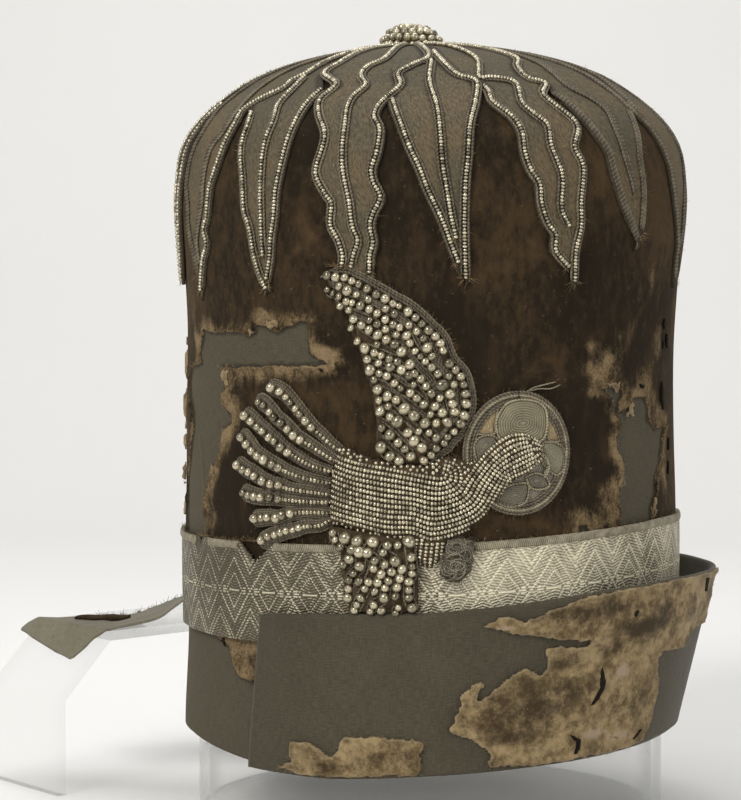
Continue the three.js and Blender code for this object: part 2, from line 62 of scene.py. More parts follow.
# Bearing and height
HEM = [
    (-180, 33), (-120, 34), (-72, 33), (-45, 29.6), (-22, 29.2), (0, 31.8), (22, 34), (45, 35.7),
    (70, 37.6), (100, 37), (135, 35), (180, 33),
]
# Bearing, lower edge and upper edge
BAND = [
    (-180, 77, 115), (-120, 76.5, 113), (-75, 76.2, 112.3), (-50, 76.4, 113.3), (-19, 77.5, 114.7),
    (8, 78.5, 116), (39, 80.5, 118.7), (62, 82, 120.2), (90, 82, 119.5), (135, 79.5, 117), (180, 77, 115),
]
# Bearing, height of the top edge, and how far it stands off the crown
BRIM = [
    (-43, 87, 2.3), (-20, 89.3, 2.7), (0, 90.5, 3.2), (18, 93.4, 4.6), (38, 97, 7.4), (56, 98.6, 10.6),
    (74, 98, 13), (92, 97, 14.6), (112, 96.5, 14.2), (134, 95.5, 11), (156, 93, 6.4), (176, 89, 3),
]
BRIM_END_SLANT = 5
HEAD_RADIUS = 97
SEAT = 0.4
CLOTH_WALL = 2
BRIM_WALL = 2
BAND_WALL = 1.2
BUTTON_LEFT = 7.5
TUBE = {"radius": 92.5, "wall": 4, "top": 264.3}
RISER = {"corner": (-133.8, 27), "bearing": 42.7, "top": 65.5, "reach": 92}


# Outline and placing
def smooth_line(points, per_span=24):
    """A smooth line through the points."""
    p = np.array(points, float)
    last = len(p) - 1
    runs = []
    for i in range(last):
        before, start, end, after = p[max(i - 1, 0)], p[i], p[i + 1], p[min(i + 2, last)]
        t = np.linspace(0, 1, per_span, endpoint=False)[:, None]
        leave = (end - before) / 2
        arrive = (after - start) / 2
        runs.append((2 * start - 2 * end + leave + arrive) * t**3
                    + (3 * end - 3 * start - 2 * leave - arrive) * t**2 + leave * t + start)
    runs.append(p[-1:])
    return np.vstack(runs)


def run_lengths(points):
    """The length along a line at each of its points."""
    steps = np.linalg.norm(np.diff(points, axis=0), axis=1)
    return np.concatenate([[0], np.cumsum(steps)])


def resample(points, run, at):
    """A line's columns read at given lengths along it."""
    return np.stack([np.interp(at, run, column) for column in points.T], -1)


def evened(points, count):
    """A line with its points spaced evenly."""
    run = run_lengths(points)
    return resample(points, run, np.linspace(0, run[-1], count))


def matched(*values):
    """The values as arrays of one shape."""
    return np.broadcast_arrays(*(np.asarray(value, float) for value in values))


PROFILE = smooth_line([(radius, height) for height, radius in CROWN_OUTLINE], 40)
PROFILE_RUN = run_lengths(PROFILE)
PROFILE_SLOPE = np.gradient(PROFILE, PROFILE_RUN, axis=0)
PROFILE_SLOPE /= np.linalg.norm(PROFILE_SLOPE, axis=1)[:, None]


def table_at(rows, at, column):
    """A column of a table read at any value of its first column."""
    return np.interp(at, [row[0] for row in rows], [row[column] for row in rows])


def smooth_step(low, high, value):
    t = np.clip((np.asarray(value, float) - low) / (high - low), 0, 1)
    return t * t * (3 - 2 * t)


def dent_at(bearing, height):
    total = 0
    for dent_bearing, dent_height, depth, spread in DENTS:
        turn = (bearing - dent_bearing + 540) % 360 - 180
        around = np.radians(turn) * HEAD_RADIUS
        total = total + depth * np.exp(-(around**2 + (height - dent_height) ** 2) / spread**2)
    return total


def along_at_height(height):
    """How far down the crown from its top centre a height is reached."""
    return np.interp(-np.asarray(height, float), -PROFILE[:, 1], PROFILE_RUN)


def on_crown(bearing, along, lift):
    """Points on or off the crown, from bearing in degrees, length down from the top, and lift."""
    bearing, along, lift = matched(bearing, along, lift)
    radius = np.interp(along, PROFILE_RUN, PROFILE[:, 0])
    height = np.interp(along, PROFILE_RUN, PROFILE[:, 1])
    out = np.interp(along, PROFILE_RUN, PROFILE_SLOPE[:, 0])
    down = np.interp(along, PROFILE_RUN, PROFILE_SLOPE[:, 1])
    off = lift - dent_at(bearing, height)
    radius = radius - down * off
    height = height + out * off
    turn = np.radians(bearing)
    return np.stack([AXIS_X + np.sin(turn) * radius, AXIS_Y - np.cos(turn) * radius, height], -1) * MM


def on_wall(across, height, lift):
    """The same for work laid flat on the wall: length round the hat, height, and lift."""
    return on_crown(np.degrees(np.asarray(across, float) / HEAD_RADIUS), along_at_height(height), lift)


def place(x, y, z):
    """A point from the hat's own axis."""
    return Vector(((AXIS_X + x) * MM, (AXIS_Y + y) * MM, z * MM))


def hem_at(bearing):
    return table_at(HEM, bearing, 1)


# Meshes
def make_piece(name, points, faces, finishes, node=None, fields=None, map_mm=None, face_finish=None):
    """One named piece that rides on the hat's body, and stands for a node where one is given."""
    mesh = bpy.data.meshes.new(name)
    mesh.from_pydata([tuple(p) for p in np.asarray(points, float)], [], [tuple(map(int, f)) for f in faces])
    mesh.update()
    mesh.shade_smooth()
    for field, values in (fields or {}).items():
        layer = mesh.attributes.new(field, "FLOAT", "POINT")
        layer.data.foreach_set("value", np.asarray(values, np.float32).ravel())
    if map_mm is not None:
        corner = np.empty(len(mesh.loops), np.int32)
        mesh.loops.foreach_get("vertex_index", corner)
        layer = mesh.uv_layers.new(name="cloth")
        layer.data.foreach_set("uv", np.asarray(map_mm, np.float32).reshape(-1, 2)[corner].ravel())
    piece = bpy.data.objects.new(name, mesh)
    bpy.context.scene.collection.objects.link(piece)
    for finish in finishes:
        mesh.materials.append(finish)
    if face_finish is not None:
        mesh.polygons.foreach_set("material_index", np.asarray(face_finish, np.int32))
    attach(piece, BODY)
    if node:
        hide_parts(node)
    return piece


def grid_faces(rows, columns, start=0, closed=False, ring=False):
    """Quads over a grid of points. Closed joins its last column to the first, and ring its last row."""
    down = rows if ring else rows - 1
    across = columns if closed else columns - 1
    i, j = np.meshgrid(np.arange(down), np.arange(across), indexing="ij")
    here, below, beside = i * columns, (i + 1) % rows * columns, (j + 1) % columns
    quads = np.stack([here + j, below + j, below + beside, here + beside], -1)
    return quads.reshape(-1, 4) + start


def capped_faces(rows, columns):
    """Quads round a closed strip, and one face over each of its ends."""
    faces = grid_faces(rows, columns, closed=True).tolist()
    faces.append(range(columns))
    faces.append(range(rows * columns - 1, (rows - 1) * columns - 1, -1))
    return faces


class Gather:
    """Collects points and faces of many small forms into one piece."""

    def __init__(self):
        self.points = []
        self.faces = []
        self.fields = {}
        self.count = 0

    def add(self, points, faces, **fields):
        points = np.asarray(points, float).reshape(-1, 3)
        self.points.append(points)
        if isinstance(faces, np.ndarray):
            self.faces.extend((faces + self.count).tolist())
        else:
            self.faces.extend([v + self.count for v in face] for face in faces)
        for name, value in fields.items():
            values = np.broadcast_to(np.asarray(value, float), (len(points),))
            self.fields.setdefault(name, []).append(values)
        self.count += len(points)

    def piece(self, name, finish, slot, node=None):
        fields = {key: np.concatenate(values) for key, values in self.fields.items()}
        return make_piece(name, np.vstack(self.points), self.faces, [finish], node, fields)


# Shader maths
class Wire:
    """A value on its way through a finish. Sums and products of wires add their own nodes."""

    def __init__(self, finish, socket):
        self.finish = finish
        self.socket = socket

    def maths(self, operation, *values):
        return self.finish.node("ShaderNodeMath", {"operation": operation}, values)

    def __add__(self, other):
        return self.maths("ADD", self, other)

    def __radd__(self, other):
        return self.maths("ADD", other, self)

    def __sub__(self, other):
        return self.maths("SUBTRACT", self, other)

    def __rsub__(self, other):
        return self.maths("SUBTRACT", other, self)

    def __mul__(self, other):
        return self.maths("MULTIPLY", self, other)

    def __rmul__(self, other):
        return self.maths("MULTIPLY", other, self)

    def sine(self):
        return self.maths("SINE", self)

    def size(self):
        return self.maths("ABSOLUTE", self)

    def part(self):
        return self.maths("FRACT", self)

    def least(self, other):
        return self.maths("MINIMUM", self, other)

    def ramp(self, low, high, start=0, end=1):
        """Goes smoothly from start to end as this value goes from low to high."""
        settings = {"interpolation_type": "SMOOTHSTEP"}
        return self.finish.node("ShaderNodeMapRange", settings, (self, low, high, start, end))

    def zigzag(self):
        """A wave of straight slopes that runs from 0 to 1 and back over each whole step."""
        return ((self.part() * 2) - 1).size()


class Finish:
    """A material made of nodes."""

    def __init__(self, name):
        self.material = bpy.data.materials.new(name)
        self.material.use_nodes = True
        self.tree = self.material.node_tree
        self.tree.nodes.clear()

    def feed(self, socket, value):
        if isinstance(value, Wire):
            self.tree.links.new(value.socket, socket)
        elif hasattr(value, "__len__") and len(value) == 3 and socket.type == "RGBA":
            socket.default_value = (*value, 1)
        else:
            socket.default_value = value

    def node(self, kind, settings=None, values=(), out=0):
        made = self.tree.nodes.new(kind)
        for key, value in (settings or {}).items():
            setattr(made, key, value)
        for key, value in values.items() if isinstance(values, dict) else enumerate(values):
            self.feed(made.inputs[key], value)
        return Wire(self, made.outputs[out])

    def place(self):
        return self.node("ShaderNodeTexCoord", out=3)

    def map(self):
        return self.node("ShaderNodeUVMap", {"uv_map": "cloth"})

    def split(self, vector):
        made = self.node("ShaderNodeSeparateXYZ", values=(vector,))
        return [Wire(self, socket) for socket in made.socket.node.outputs]

    def join(self, x, y, z=0.0):
        return self.node("ShaderNodeCombineXYZ", values=(x, y, z))

    def scaled(self, vector, amounts):
        return self.node("ShaderNodeVectorMath", {"operation": "MULTIPLY"}, (vector, amounts))

    def field(self, name):
        return self.node("ShaderNodeAttribute", {"attribute_type": "GEOMETRY", "attribute_name": name}, out=2)

    def noise(self, vector, scale, detail=3.0, rough=0.55, warp=0.0):
        values = {"Vector": vector, "Scale": scale, "Detail": detail, "Roughness": rough, "Distortion": warp}
        return self.node("ShaderNodeTexNoise", {"noise_dimensions": "3D"}, values)

    def mix(self, share, first, second):
        settings = {"data_type": "RGBA", "blend_type": "MIX", "clamp_factor": True}
        return self.node("ShaderNodeMix", settings, {0: share, 6: first, 7: second}, out=2)

    def bump(self, height, depth_mm, strength):
        values = {"Height": height, "Distance": depth_mm * MM, "Strength": strength}
        return self.node("ShaderNodeBump", values=values)

    def surface(self, **values):
        """The shader itself; every value is a number, a colour or a wire."""
        named = {name.replace("_", " "): value for name, value in values.items()}
        shader = self.node("ShaderNodeBsdfPrincipled", values=named)
        end = self.tree.nodes.new("ShaderNodeOutputMaterial")
        self.tree.links.new(shader.socket, end.inputs["Surface"])
        return self.material


def weave_height(f, flat, across_mm, along_mm):
    """Height of a plain weave: threads of a given pitch over and under each other."""
    x, y, _ = f.split(flat)
    warp = (x * (2 * math.pi / across_mm)).sine().size()
    weft = (y * (2 * math.pi / along_mm)).sine().size()
    return warp * 0.6 + weft


def silk_colour(f, spot, flat):
    """Olive-grey silk with darker and lighter threads and soft stains."""
    x, y, _ = f.split(flat)
    threads = f.noise(f.join(x * 0.3, y * 2.2), 1.0, 3, 0.6)
    cross = f.noise(f.join(x * 2.2, y * 0.2, 4.0), 1.0, 3, 0.6)
    stain = f.noise(spot, 22, 4, 0.6)
    light = (threads * 0.55 + cross * 0.45).ramp(0.25, 0.75)
    base = f.mix(light, (0.046, 0.040, 0.0265), (0.086, 0.075, 0.051))
    return f.mix(stain.ramp(0.5, 0.8) * 0.35, base, (0.100, 0.078, 0.043))


def velvet_colour(f, spot, worn, margin):
    """Dark brown pile, rubbed to tan where it is worn and round the tears, with specks of dust."""
    drift = f.noise(spot, 9, 4, 0.55, 0.6)
    blotch = f.noise(spot, 38, 5, 0.62, 0.3)
    nap = f.noise(f.scaled(spot, (1, 1, 0.4)), 110, 4, 0.6)
    fine = f.noise(spot, 1100, 2, 0.7)
    grain = f.noise(f.scaled(spot, (1, 1, 0.55)), 330, 4, 0.7)
    brown = (drift + (grain - 0.5) * 0.5).ramp(0.40, 0.68)
    dark = f.mix(brown, (0.0125, 0.0085, 0.0042), (0.050, 0.031, 0.0145))
    dark = f.mix(nap.ramp(0.48, 0.75) * 0.3, dark, (0.072, 0.043, 0.020))
    dark = f.mix(blotch.ramp(0.55, 0.75) * 0.5, dark, (0.095, 0.057, 0.026))
    patchy = blotch * 1.1 + nap * 0.7 + grain * 0.7 - 0.80
    rubbed = (worn * patchy * 1.5 + margin * (patchy - 0.08) * 1.8 + (fine - 0.5) * 0.3).ramp(0.28, 1.0)
    tan = f.mix((blotch + (fine - 0.5) * 0.5).ramp(0.35, 0.65), (0.072, 0.048, 0.022), (0.205, 0.145, 0.078))
    colour = f.mix(rubbed, dark, tan)
    dust = f.noise(spot, 640, 2, 0.5).ramp(0.70, 0.78)
    return f.mix(dust * 0.3, colour, (0.26, 0.21, 0.14)), fine


def velvet_finish():
    """Velvet where its field is above nought, torn through to woven silk where it is below, with a painted
    shadow on the silk along the tears.
    """
    f = Finish("velvet_over_silk")
    spot = f.place()
    flat = f.map()
    ragged = f.noise(spot, 420, 4, 0.7)
    coarse = f.noise(spot, 110, 3, 0.6)
    field = f.field("velvet_edge")
    edge = field + (ragged - 0.5) * 2.6 + (coarse - 0.5) * 3.0
    velvet = edge.ramp(-0.08, 0.12)
    rim = edge.ramp(0.0, 0.8, 1, 0) * velvet
    margin = field.ramp(-1.0, 10.5, 1, 0)
    # Painted shadow: the silk is darkened just outside the torn velvet edge, as if the velvet shaded it.
    painted_tear_shadow = edge.ramp(-1.9, -0.1) * (1 - velvet)
    pile, fine = velvet_colour(f, spot, f.field("worn") + rim * 0.6, margin)
    silk = f.mix(painted_tear_shadow * 0.75, silk_colour(f, spot, flat), (0.018, 0.014, 0.009))
    height = velvet * 0.8 + fine * velvet * 0.3 + weave_height(f, flat, 0.9, 0.8) * (1 - velvet) * 0.04
    return f.surface(
        Base_Color=f.mix(velvet, silk, pile),
        Roughness=0.78 + velvet * 0.15,
        Sheen_Weight=0.06,
        Sheen_Roughness=0.5,
        Sheen_Tint=(0.5, 0.34, 0.18, 1),
        Specular_IOR_Level=0.15,
        Normal=f.bump(height, 1.0, 0.8),
    )


def lining_finish():
    """Plain pale cloth."""
    f = Finish("lining")
    spot = f.place()
    grain = f.noise(spot, 900, 3, 0.6)
    tone = f.noise(spot, 35, 3, 0.6)
    return f.surface(
        Base_Color=f.mix(tone, (0.252, 0.228, 0.162), (0.42, 0.38, 0.27)),
        Roughness=0.8,
        Normal=f.bump(grain, 0.1, 0.5),
    )


VELVET = velvet_finish()
LINING = lining_finish()


def twisted_finish(name, dark, light, metal=0.2, pitch=1.5):
    """Twisted thread: its strands slant round it and catch the light on their backs."""
    f = Finish(name)
    spot = f.place()
    strand = (f.field("run") * (1 / pitch) + f.field("turn")).zigzag()
    grime = f.noise(spot, 300, 3, 0.6)
    tone = (f.field("tone") - 0.5) * 0.5 + grime * 0.7 + strand * 0.35
    return f.surface(
        Base_Color=f.mix(tone.ramp(0.15, 0.95), dark, light),
        Roughness=0.5 + grime * 0.2,
        Metallic=metal,
        Specular_IOR_Level=0.4,
        Normal=f.bump(strand, 0.25, 0.8),
    )


def ray_silk_finish():
    """Silk of the rays: olive-grey, rubbed and browned in patches, with a few slits painted near black as the
    shadow inside them.
    """
    f = Finish("ray_silk")
    spot = f.place()
    flat = f.map()
    x, y, _ = f.split(flat)
    threads = f.noise(f.join(x * 1.6, y * 0.5), 1.0, 4, 0.6)
    patches = f.noise(spot, 30, 4, 0.6, 0.4)
    fine = f.noise(spot, 900, 2, 0.6)
    down = f.field("down")
    brown = (patches * 1.15 + down.ramp(60, 130) * 0.16 - 0.10 + (threads - 0.5) * 0.3).ramp(0.44, 0.72)
    olive = f.mix(threads.ramp(0.3, 0.7), (0.050, 0.041, 0.025), (0.100, 0.086, 0.056))
    tan = f.mix(threads.ramp(0.3, 0.7), (0.074, 0.053, 0.029), (0.150, 0.112, 0.062))
    colour = f.mix(brown * 0.85, olive, tan)
    # Slits: near-black painted shadow inside each cut, with a small dip in the bump.
    slit = f.noise(f.join(x * 1.1, y * 0.10, 7.0), 1.0, 2, 0.4).ramp(0.705, 0.725)
    # Painted shade: the silk is darkened along its edges, beside and under the cords and pearls laid there.
    rim = f.field("deep").ramp(2.4, 4.2, 0.75, 0)
    colour = f.mix(slit, f.mix(rim, colour, (0.022, 0.017, 0.010)), (0.012, 0.008, 0.005))
    colour = f.mix(fine.ramp(0.62, 0.75) * 0.3, colour, (0.30, 0.25, 0.16))
    height = threads * 0.5 + fine * 0.2 - slit * 0.8
    return f.surface(
        Base_Color=colour,
        Roughness=0.72 + patches * 0.15,
        Specular_IOR_Level=0.25,
        Normal=f.bump(height, 0.35, 0.7),
    )


def felt_finish(name, dark, light):
    """Matted fibre."""
    f = Finish(name)
    spot = f.place()
    fibre = f.noise(spot, 520, 4, 0.75, 1.2)
    clump = f.noise(spot, 90, 3, 0.6)
    return f.surface(
        Base_Color=f.mix((fibre * 0.7 + clump * 0.5).ramp(0.35, 0.85), dark, light),
        Roughness=0.95,
        Specular_IOR_Level=0.15,
        Normal=f.bump(fibre, 0.5, 0.9),
    )


def pearl_finish(name, dull, bright, metal=0.25):
    """Pearls and glass pearls: each its own tone, dark where grime has settled, with a soft bright gloss."""
    f = Finish(name)
    spot = f.place()
    tone = f.field("tone")
    cloud = f.noise(spot, 700, 2, 0.6)
    grime = f.noise(spot, 60, 3, 0.6)
    share = (tone * 0.8 + cloud * 0.6 - grime.ramp(0.5, 0.75) * 0.35).ramp(0.05, 1.0)
    pits = f.noise(spot, 420, 2, 0.5)
    return f.surface(
        Base_Color=f.mix(share, dull, bright),
        Roughness=0.2 + cloud * 0.14,
        Metallic=metal,
        Coat_Weight=0.5,
        Coat_Roughness=0.1,
        Specular_IOR_Level=0.7,
        Normal=f.bump(pits + cloud * 0.4, 0.5, 0.7),
    )


PEARL = pearl_finish("pearl", (0.13, 0.108, 0.068), (0.60, 0.54, 0.39), 0.65)
BIG_PEARL = pearl_finish("large_pearl", (0.095, 0.078, 0.045), (0.50, 0.44, 0.31), 0.75)
TWIST = twisted_finish("twisted_cord", (0.033, 0.026, 0.016), (0.205, 0.170, 0.115))
GOLD_TWIST = twisted_finish("gilt_cord", (0.10, 0.078, 0.044), (0.50, 0.44, 0.31), 0.5, 1.1)
FELT = felt_finish("brown_felt", (0.018, 0.013, 0.008), (0.110, 0.075, 0.042))
STRAY = felt_finish("stray_thread", (0.09, 0.055, 0.025), (0.36, 0.26, 0.14))
KNOT_FELT = felt_finish("grey_felt", (0.030, 0.024, 0.017), (0.17, 0.145, 0.105))
RAY_SILK = ray_silk_finish()


def couched_finish(name, dark, light, metal=0.0, pitch=0.8):
    """Threads laid side by side in rings that follow the edge of their own patch."""
    f = Finish(name)
    spot = f.place()
    ring = (f.field("deep") * (1 / pitch)).zigzag()
    grime = f.noise(spot, 160, 3, 0.6)
    fine = f.noise(spot, 1400, 2, 0.6)
    tone = ring * 0.45 + grime * 0.6 + fine * 0.25
    return f.surface(
        Base_Color=f.mix(tone.ramp(0.25, 1.05), dark, light),
        Roughness=0.5 + grime * 0.25,
        Metallic=metal,
        Normal=f.bump(ring + fine * 0.3, 0.28, 0.8),
    )


GREY_FELT = felt_finish("couching_grey", (0.028, 0.022, 0.015), (0.150, 0.128, 0.090))
COUCHED = couched_finish("nimbus_ground", (0.10, 0.082, 0.055), (0.30, 0.27, 0.21))
SILVER = couched_finish("silver_petal", (0.080, 0.068, 0.040), (0.30, 0.265, 0.165), 0.3, 0.9)
SATIN = couched_finish("satin_petal", (0.095, 0.083, 0.055), (0.26, 0.232, 0.160), 0.1, 0.6)
VIOLET = couched_finish("dull_petal", (0.060, 0.051, 0.035), (0.185, 0.160, 0.112), 0.1, 0.7)
TAN_SILK = couched_finish("tan_silk", (0.17, 0.12, 0.055), (0.42, 0.32, 0.17), 0.1, 0.5)
KNOT_THREAD = twisted_finish("knot_thread", (0.050, 0.041, 0.029), (0.36, 0.31, 0.23), 0.15, 1.0)


def woven_silk_finish(name, dark, light, warp_mm=0.42, weft_mm=0.36, rough=0.7):
    """Plain woven silk: fine threads, slubs across and soft stains."""
    f = Finish(name)
    spot = f.place()
    x, y, _ = f.split(f.map())
    slub = f.noise(f.join(x * 0.35, y * 2.6), 1.0, 3, 0.6)
    warp = f.noise(f.join(x * 2.6, y * 0.2, 4.0), 1.0, 3, 0.6)
    stain = f.noise(spot, 24, 4, 0.6)
    cross = (x * (1 / warp_mm)).zigzag() * 0.5 + (y * (1 / weft_mm)).zigzag() * 0.5
    tone = slub * 0.5 + warp * 0.35 + stain * 0.35
    colour = f.mix(tone.ramp(0.4, 0.8), dark, light)
    return f.surface(
        Base_Color=colour,
        Roughness=rough + stain * 0.15,
        Sheen_Weight=0.15,
        Sheen_Roughness=0.4,
        Specular_IOR_Level=0.25,
        Normal=f.bump(slub * 0.4 + warp * 0.3 + cross * 0.35, 0.16, 0.7),
    )


def worn_velvet_finish():
    """Velvet rubbed nearly bare: tan ground, browner pile left in drifts, pale bald places."""
    f = Finish("worn_velvet")
    spot = f.place()
    drift = f.noise(spot, 26, 4, 0.6, 0.6)
    blotch = f.noise(spot, 85, 5, 0.65)
    fine = f.noise(spot, 1000, 3, 0.7)
    grain = f.noise(spot, 330, 4, 0.7)
    crease_relief_and_shade = f.noise(f.scaled(spot, (0.5, 0.5, 1.6)), 190, 3, 0.6, 0.8)
    worn = f.field("worn")
    thin = worn * 0.42 + drift * 0.8 + blotch * 0.75 + grain * 0.5 + (fine - 0.5) * 0.4
    bare = (thin - 0.2).ramp(0.40, 1.02)
    bald = (worn * 0.8 + blotch * 0.5 + grain * 0.4 + (drift - 0.5) * 0.5 - 0.2).ramp(0.72, 1.0)
    tan = f.mix((blotch * 0.6 + grain * 0.4).ramp(0.38, 0.62), (0.120, 0.082, 0.036), (0.300, 0.220, 0.115))
    colour = f.mix(bare, (0.040, 0.026, 0.012), tan)
    colour = f.mix(bald * 0.85, colour, (0.310, 0.235, 0.165))
    edge = (f.field("deep") + (grain - 0.5) * 2.4).ramp(0.1, 0.8, 1, 0)
    colour = f.mix(edge * 0.3, colour, (0.300, 0.240, 0.155))
    # Painted shade: thin dark lines where the cloth creases; the same lines also give the bump its folds.
    colour = f.mix(crease_relief_and_shade.ramp(0.62, 0.72) * 0.5, colour, (0.060, 0.040, 0.020))
    height = fine * 0.35 + blotch * 0.4 + crease_relief_and_shade * 0.5
    return f.surface(
        Base_Color=colour,
        Roughness=0.92,
        Sheen_Weight=0.1,
        Specular_IOR_Level=0.15,
        Normal=f.bump(height, 0.6, 0.8),
    )


# The band's pattern: its repeat along the band, where it starts, its half height, and its finer pitches
GALLOON_REPEAT = 18.0
GALLOON_SHIFT = -0.7
GALLOON_HALF = 12.2
RIB_PITCH = 1.05
DASH_PITCH = 2.3


def galloon_finish():
    """Silver band: a zigzag mirrored about its middle, small triangles in it, and fine ribs between."""
    f = Finish("galloon")
    spot = f.place()
    x, y, _ = f.split(f.map())
    x = x + (f.noise(spot, 75, 3, 0.6) - 0.5) * 1.4
    y = y + (f.noise(spot, 90, 3, 0.6, 0.3) - 0.5) * 1.2
    high = y.size()
    off = high * (1 / GALLOON_HALF)
    peak = 1 - ((x + GALLOON_SHIFT) * (1 / GALLOON_REPEAT)).zigzag()
    depth = off - peak
    zigzag = depth.size().ramp(0.03, 0.075, 1, 0)
    small_notch = (depth - 0.55).size().ramp(0.02, 0.055, 1, 0)
    notch_foot = (depth - 0.78).size().ramp(0.05, 0.08, 0.8, 0)
    small_peak = (depth + 0.46).size().ramp(0.02, 0.055, 1, 0)
    heart = off.ramp(0.02, 0.07, 1, 0) * peak.ramp(0.62, 0.68)
    blocks = off.ramp(0.08, 0.12, 1, 0) * (peak - 0.33).size().ramp(0.08, 0.11, 1, 0)
    lines = (zigzag + (small_notch + notch_foot) + small_peak + heart + blocks).least(1)
    above = depth.ramp(-0.02, 0.02)
    rib = ((high + peak * (2.2 - above * 4.8)) * (1 / RIB_PITCH)).zigzag()
    dash = ((x + high * 0.7) * (1 / DASH_PITCH)).zigzag().ramp(0.0, 0.4)
    bead = high.zigzag().ramp(0.0, 0.6)
    height = lines * (0.35 + bead * 0.65) + (1 - lines) * rib * (0.25 + dash * 0.5)
    grime = f.noise(spot, 130, 4, 0.6)
    tarnish = f.noise(spot, 16, 3, 0.6)
    fine = f.noise(spot, 1500, 2, 0.6)
    # Brighter towards the right of the band and duller to the left: partly painted reflection of the light,
    # partly a less tarnished right side.
    bright = x.ramp(-75, 30, -0.13, 0.36)
    shine = height * 0.85 + fine * 0.7 - 0.15 - grime * 0.5 - tarnish.ramp(0.4, 0.7) * 0.25 + bright
    colour = f.mix(shine.ramp(0.0, 1.05), (0.075, 0.062, 0.036), (0.78, 0.71, 0.52))
    return f.surface(
        Base_Color=colour,
        Roughness=0.38 + grime * 0.2,
        Metallic=0.45,
        Normal=f.bump(height, 0.4, 0.9),
    )


BRIM_SILK = woven_silk_finish("brim_silk", (0.036, 0.0295, 0.0175), (0.078, 0.066, 0.042))
LAPPET_SILK = woven_silk_finish("lappet_silk", (0.10, 0.088, 0.058), (0.21, 0.19, 0.135), 0.9, 0.5)
BRIM_WORN = worn_velvet_finish()
GALLOON = galloon_finish()
BRAID = twisted_finish("galloon_braid", (0.06, 0.048, 0.028), (0.46, 0.41, 0.29), 0.3, 0.75)
DARK_VELVET = felt_finish("dark_velvet", (0.014, 0.010, 0.006), (0.075, 0.052, 0.030))
DARK_THREAD = felt_finish("dark_thread", (0.020, 0.014, 0.008), (0.10, 0.07, 0.04))
# Near-black patches over slits and holes: painted shadow inside the openings.
SLIT_SHADOW = felt_finish("painted_slit_shadow", (0.004, 0.003, 0.002), (0.016, 0.011, 0.007))


def acrylic_finish():
    """Clear sheet: hardly there face on, whiter and glossier where it is seen edge on."""
    f = Finish("clear_acrylic")
    haze = f.noise(f.place(), 60, 3, 0.6)
    slant = f.node("ShaderNodeLayerWeight", values={"Blend": 0.5}, out=1)
    return f.surface(
        Base_Color=f.mix(haze, (0.50, 0.51, 0.50), (0.62, 0.63, 0.61)),
        Roughness=haze * 0.04 + 0.03,
        Specular_IOR_Level=0.6,
        Alpha=slant.ramp(0.6, 1.0, 0.08, 0.7) + haze * 0.03,
    )


ACRYLIC = acrylic_finish()


# Torn outlines and worn spots on the crown: length round the hat from the front, and height
SILK_BARE_LEFT = [
    (-107.7, 191.9), (-96.4, 190.5), (-88.6, 191), (-80.6, 191.1), (-76.9, 190.3), (-74.7, 189.6),
    (-71.2, 191.1), (-70.4, 193.8), (-65.6, 193.9), (-63.2, 192.4), (-58.8, 191.3), (-55.8, 193.5),
    (-52.1, 193.7), (-49.4, 195.5), (-45.9, 195.5), (-45.6, 189.9), (-45.4, 183.8), (-41.9, 181.6),
    (-38.2, 180.5), (-36.9, 179.7), (-49.8, 179.3), (-65.1, 179), (-77.3, 178), (-89.2, 178.1),
    (-93.8, 177.6), (-89.9, 172.3), (-89.2, 169.2), (-92.2, 168.3), (-91.4, 164.4), (-87.7, 161.5),
    (-84.9, 160.8), (-84.2, 156.9), (-91.3, 154.3), (-92, 148), (-94.3, 141.6), (-100.2, 138.9),
    (-101, 135.7), (-103.8, 131.5), (-105.8, 127.4), (-106.6, 121), (-102.5, 118.2), (-105.4, 105),
    (-131, 105), (-133.5, 133.3), (-127.6, 141.9), (-121.5, 153.6), (-121.6, 158.4), (-128.4, 164.6),
    (-131.8, 170.9), (-126, 176.8), (-111.2, 178.8), (-113.9, 182.7), (-108.4, 187.6),
]
SILK_BARE_RIGHT = [
    (68.9, 169.8), (74, 171), (79.4, 170.9), (80.8, 168.7), (79.4, 165.2), (78, 161.8), (86.8, 163.6),
    (86.8, 166.3), (95.3, 166.9), (99.1, 163.6), (98.1, 158.3), (105.7, 154.4), (116.9, 154.8),
    (113.7, 151.3), (110.6, 143.4), (110.5, 139.7), (105.3, 135.6), (104.1, 129.4), (100.7, 124.3),
    (101.6, 110), (87.9, 110), (77.6, 110), (79.1, 124.9), (77.8, 128.5), (78.5, 133.7), (81.3, 137.1),
    (81.4, 142.3), (79.3, 145.1), (77.3, 147.8), (76.6, 152.2), (79.4, 154.7), (79.4, 158.2), (76.6, 160.1),
    (74, 164.5), (74, 167.1),
]
SILK_BARE_SPOT = [(57.1, 112), (57.8, 121), (61.7, 121.2), (64.2, 112)]
SILK_BARE_BEHIND = [
    (172, 188), (190, 196), (214, 192), (226, 180), (218, 166), (232, 150), (224, 130), (206, 122),
    (186, 128), (180, 146), (170, 158), (176, 172),
]
VELVET_LEFT_UNDER_BAND = [
    (-101, 80), (-99, 84), (-60, 84), (-62, 76), (-66, 65), (-73, 61), (-80, 62), (-84, 66), (-86, 73),
    (-94, 75),
]
